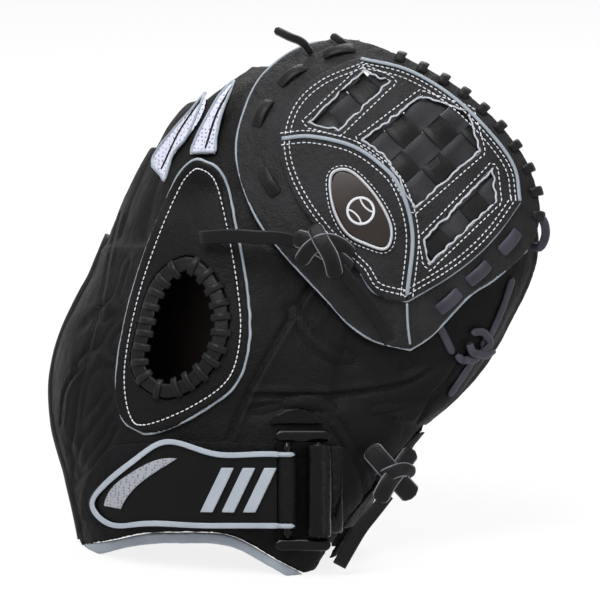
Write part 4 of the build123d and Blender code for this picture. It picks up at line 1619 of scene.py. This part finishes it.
# ---- web ----
@dataclass
class BasketWeave:
    """Flat straps woven over and under one another behind the web's windows."""

    angle: float = radians(43.0)
    pitch: float = 15.0
    width: float = 15.3
    thick: float = 1.5
    depth: float = 4.6
    wave: float = 1.35
    middle: Pair = (70.0, 228.0)
    reach: float = 90.0
    step: float = 1.5
    margin: float = 2.0
    fewest_points: int = 12

    def build(self, opening: np.ndarray) -> None:
        """Weave and seat both sets of straps.

        Args:
            opening: Outline of the opening that the straps fill.
        """
        # The cross straps wear a paler finish than the long ones: painted light, for the light that one
        # direction of the weave catches.
        for name, turn, parity, finish in (("cross", self.angle, 1.0, NAPPED_LACE_PAINTED_LIT),
                                           ("long", self.angle + pi / 2, -1.0, LACE_LEATHER)):
            straps = [self.strap(f"{name}_{i}", opening, turn, i, parity) for i in range(-4, 5)]
            whole = joined(f"basket_{name}_straps", [strap for strap in straps if strap])
            seat(dress(whole, finish), WEB_BEND, Slot.LACE, f"web_{name}_straps")

    def strap(self, name: str, opening: np.ndarray, turn: float, index: int, parity: float) -> Piece | None:
        """One strap of the weave.

        Args:
            name: Name of the strap.
            opening: Outline of the opening that it fills.
            turn: Direction of the strap in the pattern.
            index: Its number, counted from the middle one.
            parity: 1 for straps that start over, -1 for those that start under.

        Returns:
            The strap, or None where it would lie outside.
        """
        run = np.arange(-self.reach, self.reach, self.step)
        aside = (index + 0.5) * self.pitch
        line = np.stack([self.middle[0] + run * cos(turn) - aside * sin(turn),
                         self.middle[1] + run * sin(turn) + aside * cos(turn)], axis=1)
        keep = np.array([inside(opening, point, self.margin) for point in line])
        if keep.sum() < self.fewest_points:
            return None
        first, last = np.where(keep)[0][[0, -1]]
        line, run = line[first:last + 1], run[first:last + 1]
        phase = parity * run / self.pitch
        lift = -self.depth + parity * self.wave * np.cos(pi * (phase - 0.5 - index))
        return swept(name, *DOME.lay(line, lift), strap_profile(self.width, self.thick, 0.2))


@dataclass
class Web:
    """Basket web: stitched frame, badge panel, flange, weave and trim."""

    flange: tuple[Line, ...] = (
        [(36, 303), (6, 301), (-18, 285), (-30, 262), (-34, 236), (-24, 204), (-8, 182), (18, 154)],
        [(18, 154), (30, 141), (44, 132), (64, 127)],
        [(64, 127), (77, 136), (97, 157), (112, 167), (131, 184)],
        [(131, 184), (138, 205), (132, 230), (116, 254), (92, 276), (62, 293), (36, 303)])
    border: tuple[Line, ...] = (
        [(37, 293), (12, 282), (-4, 266), (-10, 243), (-4, 219), (12, 194), (36, 170)],
        [(36, 170), (44, 159), (62, 154)],
        [(62, 154), (84, 167), (99, 178), (113, 192), (127, 211)],
        [(127, 211), (124, 230), (112, 248), (90, 270), (64, 286), (37, 293)])
    windows: tuple[Line, ...] = (
        [(6, 255), (24, 250), (54, 279), (38, 286)],
        [(36, 245), (50, 235), (66, 206), (104, 239), (98, 262), (70, 271)],
        [(71, 189), (74, 174), (113, 211), (111, 230)])
    band: Line = (
        (-8, 246), (8, 247), (30, 242), (46, 232), (58, 218), (65, 192), (62, 158))
    foot_seam: Line = ((62, 153), (62.5, 141), (64, 129))
    panels: tuple[tuple[str, str, float, Creases], ...] = (
        ("web_window_frame", "web_frame", 0.9, Creases(16.0, 0.15, 0.3)),
        ("web_badge_leather", "web_badge_panel", 1.0, Creases(20.0, 0.3, 0.5)),
        ("web_outer_flange", "web_flange", 1.1, Creases(18.0, 0.4, 0.6)))
    cut_slant: float = 0.6
    cut_reach: float = 1.8
    border_stitches: Pair = (3.2, 6.0)
    window_stitches: float = 2.6
    band_stitches: float = 3.4
    stitch: Size = Size(2.3, 0.75, 0.7)
    stitch_pitch: float = 3.0
    step: float = 1.2
    binding_thick: float = 1.2
    top_binding_inset: float = 1.2
    fraying: float = 1.6
    fraying_scale: float = 0.22
    fray_step: float = 0.8
    edge_radius: float = 0.6
    weave_inset: float = 4.0

    @staticmethod
    def loop(runs: Sequence[Line], step: float) -> np.ndarray:
        """Even points along several runs that follow on one another."""
        return np.vstack([smooth_line(run, step)[:-1] for run in runs])

    def build(self) -> None:
        """Build and seat the whole web."""
        inward = inner_side(self.loop(self.border, 2.0))
        for name, node, voxel, creases in self.panels:
            panel = SoftPart(name, (node,), (WEB_LEATHER, CUT_EDGE), Slot.SHELL, WEB_BEND, voxel, 3, 0.05,
                             (creases,))
            leather = panel.shape()
            self.mark_cut_edges(leather)
            panel.finish(leather)
        self.stitching(inward)
        self.bindings(inward)
        edges = [self.frayed_edge(i, window) for i, window in enumerate(self.windows)]
        seat(dress(joined("frayed_window_edges", edges), CUT_EDGE), WEB_BEND, Slot.TRIM)
        Badge().build()
        BasketWeave().build(shifted(self.loop(self.border, 1.5), inward * self.weave_inset, True))

    def mark_cut_edges(self, panel: Piece) -> None:
        """Give the cut edges round the windows the second finish.

        Args:
            panel: A panel of the web.
        """
        edges = self.loop([line + line[:1] for line in self.windows], 1.0)
        centre = np.array([DOME.u, DOME.w, DOME.v])
        for polygon in panel.data.polygons:
            spot = DRAFT.read(np.array(polygon.center))[0]
            out = Vector(DRAFT.turned(spot - centre)[0]).normalized()
            if abs(out.dot(polygon.normal)) < self.cut_slant:
                if np.hypot(*(edges - spot[[0, 2]]).T).min() < self.cut_reach:
                    polygon.material_index = 1

    def stitching(self, inward: float) -> None:
        """Rows of stitches round the border, the windows and the badge panel.

        Args:
            inward: Side of the border's line on which its inside lies.
        """
        row = Row()
        for inset in self.border_stitches:
            line = shifted(self.loop(self.border, 1.0), inward * inset, True)
            row.trail(smooth_line(line, self.stitch_pitch, True), 0.3)
        for window in self.windows:
            line = corner_line(window, 12)
            line = shifted(line, -inner_side(line) * self.window_stitches, True)
            row.trail(smooth_line(line, self.stitch_pitch, True), 0.3)
        for aside in (-self.band_stitches, self.band_stitches):
            row.trail(smooth_line(shifted(smooth_line(self.band, 1.0), aside), self.stitch_pitch), 0.35)
        seat(row.repeat("web_stitches", Repeat.STITCH, self.stitch, THREAD), WEB_BEND, Slot.TRIM)

    def bindings(self, inward: float) -> None:
        """Grey bindings along the edges of the web.

        Args:
            inward: Side of the border's line on which its inside lies.
        """
        top = shifted(smooth_line(self.border[3], self.step), inward * self.top_binding_inset)
        for name, line, width, node in (
                ("badge_band_binding", smooth_line(self.band, self.step), 2.3, "web_band_piping"),
                ("web_top_binding", top, 2.1, "web_top_piping")):
            profile = strap_profile(width, self.binding_thick, 0.2)
            Strip(name, GREY_TRIM, Slot.TRIM, WEB_BEND, profile, 0.1, nodes=(node,)).lay(DOME, line)
        for name, runs, lift, radius in (("flange_edge_binding", self.flange[:3], -4.2, 0.8),
                                         ("border_edge_binding", self.border[1:3], -1.6, 0.6),
                                         ("flange_foot_seam", [self.foot_seam], 0.0, 0.7)):
            Strip(name, GREY_TRIM, Slot.TRIM, WEB_BEND, round_profile(radius, 8), lift).lay(
                DOME, self.loop(runs, self.step))

    def frayed_edge(self, index: int, window: Line) -> Piece:
        """Pale, uneven cut edge round a window.

        Args:
            index: Number of the window.
            window: Its outline.

        Returns:
            The edge, as a thin closed roll.
        """
        even = corner_line(window, step=self.fray_step)
        ragged = np.array([noise.noise(Vector((*spot * self.fraying_scale, index))) for spot in even])
        inset = inner_side(even) * (0.5 + self.fraying * ragged)
        line = even + (shifted(even, 1.0, True) - even) * inset[:, None]
        points, outs = DOME.lay(line, -0.5 + 0.5 * ragged)
        return swept(f"window_edge_{index}", points, outs, round_profile(self.edge_radius, 6, 0.8), True)


@dataclass
class Badge:
    """Patch of the web, with a pale rim, stitches and a plain ball emblem."""

    outline: Line = (
        (20, 222), (24, 227), (32, 225), (44, 212), (52, 196), (50, 185), (40, 187), (29, 193), (22, 206))
    rim: Pair = (1.6, 1.9)
    rim_outset: float = 0.9
    stitch: Size = Size(1.9, 0.65, 0.6)
    stitch_pitch: float = 2.6
    stitch_outset: float = 3.2
    lift: float = 0.3
    ball: Pair = (36.0, 205.0)
    radius: float = 7.4
    ball_lift: float = 1.9
    ring: float = 0.75
    seam: float = 0.5
    seam_reach: float = 0.92
    seam_bow: Spot = (1.05, 0.62, 0.98)
    turn: float = 0.75

    def build(self) -> None:
        """Build and seat the patch, its rim, its stitches and the emblem."""
        SoftPart("badge_field", ("web_badge",), (BADGE_FIELD,), Slot.BADGE, WEB_BEND, 0.5, 2).build()
        edge = smooth_line(self.outline, 1.0, closed=True)
        outward = -inner_side(edge)
        Strip("badge_rim", BADGE_PALE, Slot.BADGE, WEB_BEND, strap_profile(*self.rim, 0.3), self.lift,
              closed=True, nodes=("web_badge_rim",)).lay(DOME, shifted(edge, outward * self.rim_outset, True))
        row = Row()
        line = shifted(edge, outward * self.stitch_outset, True)
        row.trail(smooth_line(line, self.stitch_pitch, True), self.lift)
        seat(row.repeat("badge_stitches", Repeat.STITCH, self.stitch, THREAD), WEB_BEND, Slot.TRIM)
        self.emblem()

    def emblem(self) -> None:
        """Plain ball with two seams, raised on the patch."""
        turn = np.linspace(0, 2 * pi, 48, endpoint=False)
        ring = np.array(self.ball) + np.stack([np.cos(turn), np.sin(turn)], axis=1) * self.radius
        parts = [swept("ball_ring", *DOME.lay(ring, self.ball_lift), round_profile(self.ring, 8, 0.6), True)]
        sweep = np.linspace(-self.seam_reach, self.seam_reach, 16)
        out, bow, height = self.seam_bow
        lean = np.array([[cos(self.turn), sin(self.turn)], [-sin(self.turn), cos(self.turn)]])
        for side in (-1.0, 1.0):
            arc = np.stack([side * (out - np.cos(sweep) * bow), np.sin(sweep) * height], axis=1) * self.radius
            places = DOME.lay(np.array(self.ball) + arc @ lean, self.ball_lift)
            parts.append(swept(f"ball_seam_{side:.0f}", *places, round_profile(self.seam, 8, 0.7)))
        seat(dress(joined("ball_emblem", parts), BADGE_PALE), WEB_BEND, Slot.BADGE)


# ---- lacing ----
@dataclass(frozen=True)
class Lace:
    """Flat lace along a route of draft points, lying with its face outwards.

    Its cut sides are the faces between these corners of strap_profile and the next:
    the two flanks, and the eased edges above them.
    """

    name: str
    route: tuple[Spot, ...]
    width: float = 8.0
    thick: float = 2.2
    taper: int = 2
    cut_sides: ClassVar[tuple[int, ...]] = (3, 4, 8, 9)

    def cut(self) -> Piece:
        """Sweep and dress the lace.

        Returns:
            The lace, which still has to be seated.
        """
        points = DRAFT.place(smooth_line(self.route, 1.5))
        outs = np.tile(OUTWARD, (len(points), 1))
        profile = strap_profile(self.width, self.thick, 0.15)
        piece = swept(self.name, points, outs, profile, taper=self.taper)
        for polygon in piece.data.polygons:
            if len(polygon.vertices) == 4 and polygon.index % len(profile) in self.cut_sides:
                polygon.material_index = 1
                polygon.use_smooth = False
        return dress(piece, LACE_LEATHER, LACE_EDGE)


def tie(name: str, laces: Sequence[Lace], follows: Body | Bend, *nodes: str) -> None:
    """Tie several turns of lace into one piece and seat it.

    Args:
        name: Name of the piece.
        laces: Its turns.
        follows: The body or bend that it follows.
        nodes: Names of the nodes that it replaces.
    """
    seat(joined(name, [lace.cut() for lace in laces]), follows, Slot.LACE, *nodes)


@dataclass
class WebLacing:
    """Laces that hold the web to the finger and the thumb, their knot and the rim's teeth.

    Each run of lace is its middle (u, v) and the direction in which it lies, in degrees.
    """

    index_runs: tuple[Spot, ...] = ((-20, 262, 62), (-3, 284, 35), (24, 298, 12), (-16, 222, -60))
    index_lace: Size = Size(19.0, 7.6, 2.3, 2.4)
    thumb_runs: tuple[Spot, ...] = ((121, 188, 50), (103, 170, 42), (86, 154, 42))
    thumb_lace: Size = Size(17.0, 7.6, 2.3, 2.4)
    run_lift: float = -0.6
    teeth: int = 10
    teeth_ends: Pair = (0.12, 0.86)
    tooth: Size = Size(9.5, 6.0, 2.6, 2.4)
    tooth_lift: float = -1.4
    knot: tuple[Lace, ...] = (
        Lace("turn_low", ((-1, -3.2, 190), (8, -6.0, 187), (20, -6.4, 180), (30, -4.0, 172)), 10.5, 2.6),
        Lace("turn_over", ((2, -3.0, 176), (8, -7.2, 184), (16, -9.0, 188), (24, -7.4, 186), (31, -3.5, 180)),
             9.0, 2.4),
        Lace("turn_across", ((10, -4.0, 196), (14, -9.4, 188), (19, -10.6, 179), (22, -6.5, 168)), 9.5, 2.6),
    )
    stubs: tuple[Lace, ...] = (
        Lace("stub_0", ((8, 54, 296), (3, 51, 302), (-4, 50, 305), (-12, 52, 309)), 5.0, 2.0, 1),
        Lace("stub_1", ((34, 58, 295), (27, 55, 301), (20, 56, 306)), 5.0, 2.0, 1),
    )

    def build(self, web: Web) -> None:
        """Build and seat the lacing.

        Args:
            web: The web that the laces hold.
        """
        for side, runs, size, finish in (("index", self.index_runs, self.index_lace, LACE_LEATHER),
                                         ("thumb", self.thumb_runs, self.thumb_lace, RUBBED_LACE)):
            row = Row()
            for u, v, turn in runs:
                ahead = (u + cos(radians(turn)), v + sin(radians(turn)))
                points, outs = DOME.lay(np.array([(u, v), ahead]), self.run_lift)
                row.add(points[:1], outs[:1], points[1:] - points[:1])
            laces = row.repeat(f"{side}_side_laces", Repeat.LOOP, size, finish)
            seat(laces, WEB_BEND, Slot.LACE, f"{side}_web_lace")
        self.rim_teeth(smooth_line(web.flange[3], 1.0))
        tie("web_tie_knot", self.knot, WEB_BEND, "web_knot")
        tie("fingertip_lace_stubs", self.stubs, Body.HAND)

    def rim_teeth(self, line: np.ndarray) -> None:
        """Whipped laces over the top edge of the web.

        Args:
            line: The line of that edge.
        """
        pick = (np.linspace(*self.teeth_ends, self.teeth) * (len(line) - 1)).astype(int)
        along = line[pick + 1] - line[pick - 1]
        across = np.stack([-along[:, 1], along[:, 0]], axis=1)
        points, outs = DOME.lay(line[pick], self.tooth_lift)
        ends, _ = DOME.lay(line[pick] + across * 0.2, self.tooth_lift)
        row = Row()
        row.add(points, outs, ends - points)
        teeth = row.repeat("web_rim_teeth", Repeat.LOOP, self.tooth, LACE_LEATHER)
        seat(teeth, WEB_BEND, Slot.LACE, "web_rim_lacing")


@dataclass
class ThumbTies:
    """Rubbed laces and their small knot along the thumb, and the loop at the end of the web's rim."""

    width: float = 4.6
    thick: float = 1.8
    step: float = 1.2
    lift: float = 0.1
    routes: tuple[Line, ...] = (
        [(104, 128), (111, 139), (117, 153), (122, 168)],
        [(101, 124), (94, 113), (86, 101)],
        [(80, 141), (84, 133), (88, 125)],
    )
    turn_lift: float = 1.2
    turn_rise: float = 1.1
    turns: tuple[Line, ...] = (
        [(89, 124), (95, 121), (101, 123), (106, 129)],
        [(97, 137), (104, 138), (108, 132), (103, 125)],
        [(95, 132), (98, 126), (104, 125), (109, 128)],
    )
    loop: Lace = Lace("rim_end_loop", ((129, 33, 199), (134, 27, 203), (139.5, 27, 200), (141, 29, 192),
                                       (138, 31, 185), (133, 34, 186)), 5.0, 2.0)

    def build(self, shell: Piece) -> None:
        """Build and seat the ties.

        Args:
            shell: The leather that they lie on.
        """
        ground = Ground(shell)
        profile = strap_profile(self.width, self.thick, 0.3)
        lifts = [self.lift] * len(self.routes)
        lifts += [self.turn_lift + self.turn_rise * i for i in range(len(self.turns))]
        parts = [swept("tie", *ground.lay(smooth_line(line, self.step), lift), profile, taper=2)
                 for line, lift in zip(self.routes + self.turns, lifts)]
        seat(dress(joined("thumb_tie_laces", parts), RUBBED_LACE), SHELL_BEND, Slot.LACE)
        seat(dress(self.loop.cut(), RUBBED_LACE), WEB_BEND, Slot.LACE)


@dataclass(frozen=True)
class LooseEnd:
    """A loose lace end, as a free flat cord from its knot to its tip."""

    node: str
    length: float
    route: tuple[Spot, ...]
    width: float = 8.0
    thick: float = 2.2

    def build(self) -> None:
        """Build and seat the cord."""
        curve = bpy.data.curves.new(self.node + "_lace", "CURVE")
        curve.dimensions, curve.twist_mode, curve.use_fill_caps = "3D", "Z_UP", True
        curve.extrude, curve.bevel_depth = (self.width - self.thick) / 2 * MM, self.thick / 2 * MM
        curve.bevel_resolution, curve.resolution_u = 2, 16
        spline = curve.splines.new("NURBS")
        places = DRAFT.place(np.array(self.route))
        spline.points.add(len(places) - 1)
        for point, place in zip(spline.points, places):
            point.co = (*place, 1.0)
        spline.order_u = 3
        spline.use_endpoint_u = True
        curve.materials.append(LACE_LEATHER.make())
        piece = seat(entered(self.node + "_lace", curve), Body.HAND, Slot.LACE, self.node)


@dataclass
class LooseLaces:
    """Three loose lace ends and the knot at the heel of the thumb."""

    ends: tuple[LooseEnd, ...] = (
        LooseEnd("knot_tail_left", 0.0585, ((2, -2.6, 187), (-8, -1.4, 190.2), (-21, 1.0, 190),
                                            (-38, 6.5, 191.5), (-54, 13.5, 190))),
        LooseEnd("knot_tail_low", 0.0495, ((24.5, -7.0, 173), (33, -8.2, 162), (39.5, -8.6, 154),
                                           (47, -7.6, 143), (53, -4.6, 131))),
        LooseEnd("thumb_knot_tail", 0.0485, ((51.5, 0.2, 46), (43.3, -1.8, 35.5), (37.5, -1.8, 29),
                                             (31, -1.0, 18.5), (24, 1.4, 6))),
    )
    knot: tuple[Lace, ...] = (
        Lace("knot_down", ((41, 4.5, 72), (48, 2.2, 64), (56, 3.0, 55), (65, 10.5, 45)), 12.0, 2.6),
        Lace("knot_across", ((65, 9.5, 70), (59, 4.2, 62), (52, -0.8, 53), (46, -0.6, 42)), 10.0, 2.4),
        Lace("knot_turn", ((46, 4.5, 54), (53, -0.8, 58), (60, 1.2, 60), (65, 8.0, 58)), 8.0, 2.2),
    )

    def build(self) -> None:
        """Build and seat the loose ends and the heel knot."""
        for end in self.ends:
            end.build()
        tie("heel_tie_knot", self.knot, Body.HAND, "heel_lace_knot")


# ---- wrist ----
@dataclass
class Buckle:
    """Moulded buckle: two upright bars between two rounded end bars."""

    uprights: Pair = (-5.0, 12.5)
    ends: Pair = (18.0, 79.0)
    reach: Pair = (-11.8, 19.3)
    w: float = -5.4
    bar: float = 2.4
    end_bar: float = 3.6
    rounding: int = 7

    def build(self) -> None:
        """Build and seat the buckle."""
        low, high = self.ends
        parts = [self.rod(f"upright_{i}", (u, low), (u, high), round_profile(self.bar, 16))
                 for i, u in enumerate(self.uprights)]
        section = round_profile(self.end_bar, 20, self.bar / self.end_bar)
        parts += [self.rod(f"end_{i}", (self.reach[0], v), (self.reach[1], v), section, self.rounding)
                  for i, v in enumerate(self.ends)]
        ring = dress(joined("buckle_frame", parts), BUCKLE_PLASTIC)
        seat(ring, Body.BUCKLE, Slot.PLASTIC, "buckle_ring")

    def rod(self, name: str, start: Pair, end: Pair, section: np.ndarray,
            rounding: int = 0) -> Piece:
        """Straight bar of the buckle.

        Args:
            name: Name of the bar.
            start: Where it starts (u, v).
            end: Where it ends (u, v).
            section: Its section.
            rounding: How many rings round off each end.

        Returns:
            The bar.
        """
        span = np.hypot(end[0] - start[0], end[1] - start[1])
        turn = (np.arange(rounding) + 0.6) / (rounding + 0.6) * pi / 2
        cap = self.end_bar * (1 - np.cos(turn)) / span
        straight = np.linspace(self.end_bar / span, 1 - self.end_bar / span, 12)
        part = np.concatenate([cap, straight, 1 - cap[::-1]])
        u, v = (start[i] + part * (end[i] - start[i]) for i in (0, 1))
        points = DRAFT.place(np.stack([u, np.full_like(u, self.w), v], axis=1))
        return swept(name, points, np.tile(OUTWARD, (len(points), 1)), section, taper=rounding)


@dataclass
class Wrist:
    """Wrist binding, loop band, buckle and hook-and-loop strap."""

    parts: tuple[SoftPart, ...] = (
        SoftPart("wrist_grey_binding", ("wrist_binding",), (GREY_TRIM,), Slot.TRIM, Body.HAND, 0.9, 5, 0.15,
                 (Creases(16.0, 0.1, 0.35),)),
        SoftPart("loop_pile_band", ("wrist_band",), (PILE,), Slot.PILE, Body.HAND, 1.0, 2, 0.1,
                 (Creases(6.0, 0.1, 0.25),)),
        SoftPart("keeper_roll", ("buckle_keeper",), (GLOSS_LEATHER,), Slot.SHELL, Body.HAND, 0.8, 14, 0.3,
                 (Creases(14.0, 0.2, 0.35),)),
        SoftPart("keeper_cover_patch", ("keeper_patch",), (GLOSS_LEATHER,), Slot.SHELL, Body.HAND, 0.7, 3,
                 0.1, (Creases(12.0, 0.1, 0.2),)),
        SoftPart("hook_tape", ("hook_pad",), (PILE,), Slot.PILE, Body.STRAP, 0.6, 1),
        SoftPart("strap_leather", ("strap_core",), (SHELL_LEATHER,), Slot.SHELL, Body.STRAP, 0.8, 3, 0.05,
                 (Creases(14.0, 0.05, 0.2),)),
        SoftPart("strap_tab_face", ("strap_tab",), (BLACK_RUBBER,), Slot.BLACK_RUBBER, Body.STRAP, 0.6, 2),
        SoftPart("strap_raised_rim", ("strap_rim",), (GREY_RUBBER,), Slot.GREY_RUBBER, Body.STRAP, 0.45, 3,
                 0.05),
        SoftPart("strap_inlay_panel", ("strap_inlay",), (MOULDED_MESH,), Slot.MESH, Body.STRAP, 0.4, 2),
        SoftPart("strap_raised_bars", ("strap_motif",), (GREY_RUBBER,), Slot.GREY_RUBBER, Body.STRAP, 0.45, 3,
                 0.05),
    )
    fold_axis: Pair = (-5.0, -5.4)
    fold_radius: float = 5.2
    fold_turn: Pair = (178.0, 50.0)
    rim_width: float = 2.6
    rim_thick: float = 1.3

    def build(self) -> None:
        """Build and seat every part of the wrist."""
        for part in self.parts:
            part.build()
        Buckle().build()
        self.rim_ends()

    def rim_ends(self) -> None:
        """Ends of the strap's raised rim, carried over its fold round the buckle."""
        spots = DRAFT.read(read_points(NODES["strap_rim"])[0])
        tip = spots[spots[:, 0] > spots[:, 0].max() - 1.0][:, 2]
        turn = np.radians(np.linspace(*self.fold_turn, 14))
        out = np.stack([np.cos(turn), -np.sin(turn), 0 * turn], axis=1)
        parts = []
        for name, side in (("upper", tip[tip > tip.mean()]), ("lower", tip[tip < tip.mean()])):
            axis = np.array([*self.fold_axis, (side.min() + side.max()) / 2])
            points = DRAFT.place(axis + out * self.fold_radius)
            outs = points - DRAFT.place(axis)
            profile = strap_profile(self.rim_width, self.rim_thick, 0.3)
            parts.append(swept(f"{name}_rim_end", points, outs, profile, taper=2))
        seat(dress(joined("strap_rim_ends", parts), GREY_RUBBER), Body.STRAP, Slot.GREY_RUBBER)


# ---- studio ----
@dataclass(frozen=True)
class Lamp:
    """Square soft lamp: its place in millimetres, its side in metres and its power in watts."""

    name: str
    place: Spot
    side: float
    power: float
    aim: ClassVar[Spot] = (30.0, 0.0, 140.0)

    def hang(self) -> None:
        """Hang the lamp and aim it at the glove."""
        data = bpy.data.lights.new(self.name, "AREA")
        data.size, data.energy = self.side, self.power
        lamp = entered(self.name, data)
        lamp.location = Vector(self.place) * MM
        lamp.rotation_euler = (Vector(self.aim) * MM - lamp.location).to_track_quat("-Z", "Y").to_euler()


@dataclass
class Studio:
    """Pale floor, soft light and the camera."""

    distance: float = 3200.0
    view_width: float = 342.0
    view_centre: Spot = (2.0, 50.0, 155.0)
    sensor: float = 36.0
    floor_side: float = 8.0
    floor_glow: float = 0.85
    world_seen: float = 0.7
    world_light: float = 0.3
    lamps: tuple[Lamp, ...] = (Lamp("key_light", (-450, -700, 1900), 1.1, 40.0),
                               Lamp("fill_light", (1500, -1500, 700), 1.4, 7.0),
                               Lamp("back_light", (200, 1300, 1500), 1.2, 26.0))

    def build(self) -> None:
        """Set up the camera, the floor, the surroundings and the lamps."""
        self.camera()
        self.floor()
        self.world()
        for lamp in self.lamps:
            lamp.hang()
        bpy.context.scene.view_settings.view_transform = "Standard"

    def camera(self) -> None:
        """Camera square on to the back of the hand, from a little above."""
        camera = entered("camera", bpy.data.cameras.new("camera"))
        u, w, v = self.view_centre
        camera.location = DRAFT.spot(u, w - self.distance, v)
        camera.rotation_euler = INWARD.to_track_quat("-Z", "Y").to_euler()
        camera.data.sensor_width = self.sensor
        camera.data.lens = self.sensor * self.distance / self.view_width
        camera.data.clip_end = 100.0
        bpy.context.scene.camera = camera

    def floor(self) -> None:
        """Plain pale floor."""
        half = self.floor_side / 2
        corners = [(-half, -half, 0), (half, -half, 0), (half, half, 0), (-half, half, 0)]
        floor = new_piece("floor", corners, [(0, 1, 2, 3)])
        material = bpy.data.materials.new("pale_paper")
        tree = blank_tree(material)
        paper = add(tree, "ShaderNodeBsdfDiffuse", {"Color": linear("#f4f4f4")})
        glow = add(tree, "ShaderNodeEmission", {"Color": linear("#ffffff"), "Strength": 1.0})
        mix = add(tree, "ShaderNodeMixShader", {0: self.seen(tree, self.floor_glow), 1: paper.outputs[0],
                                                2: glow.outputs[0]})
        add(tree, "ShaderNodeOutputMaterial", {"Surface": mix.outputs[0]})
        floor.data.materials.append(material)

    @staticmethod
    def seen(tree: Tree, amount: float) -> Socket:
        """An amount for camera, glossy and transmission rays, and 0 for the rest.

        Args:
            tree: The tree that gets the nodes.
            amount: The amount.

        Returns:
            The amount's socket.
        """
        path = add(tree, "ShaderNodeLightPath").outputs
        seen = path["Is Camera Ray"]
        for kind, other in (("MAXIMUM", path["Is Glossy Ray"]), ("MAXIMUM", path["Is Transmission Ray"]),
                            ("MULTIPLY", amount)):
            seen = add(tree, "ShaderNodeMath", {0: seen, 1: other}, operation=kind).outputs[0]
        return seen

    def world(self) -> None:
        """White surroundings that light the glove only softly."""
        world = bpy.data.worlds.new("studio")
        bpy.context.scene.world = world
        tree = blank_tree(world)
        strength = add(tree, "ShaderNodeMath", {0: self.seen(tree, self.world_seen), 1: self.world_light},
                       operation="ADD").outputs[0]
        white = add(tree, "ShaderNodeBackground", {"Color": linear("#ffffff"), "Strength": strength})
        add(tree, "ShaderNodeOutputWorld", {"Surface": white.outputs[0]})


def main() -> None:
    """Build the studio and the glove."""
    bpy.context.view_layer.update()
    Studio().build()
    LooseLaces().build()
    shell = GloveSkin().build()
    PalmShell().build()
    EdgeJoins().build()
    Inside().build()
    FingerHole().build()
    MeshInserts().build()
    web = Web()
    web.build()
    WebLacing().build(web)
    ThumbTies().build(shell)
    Wrist().build()


if __name__ == "__main__":
    logging.basicConfig(level=logging.INFO)
    main()
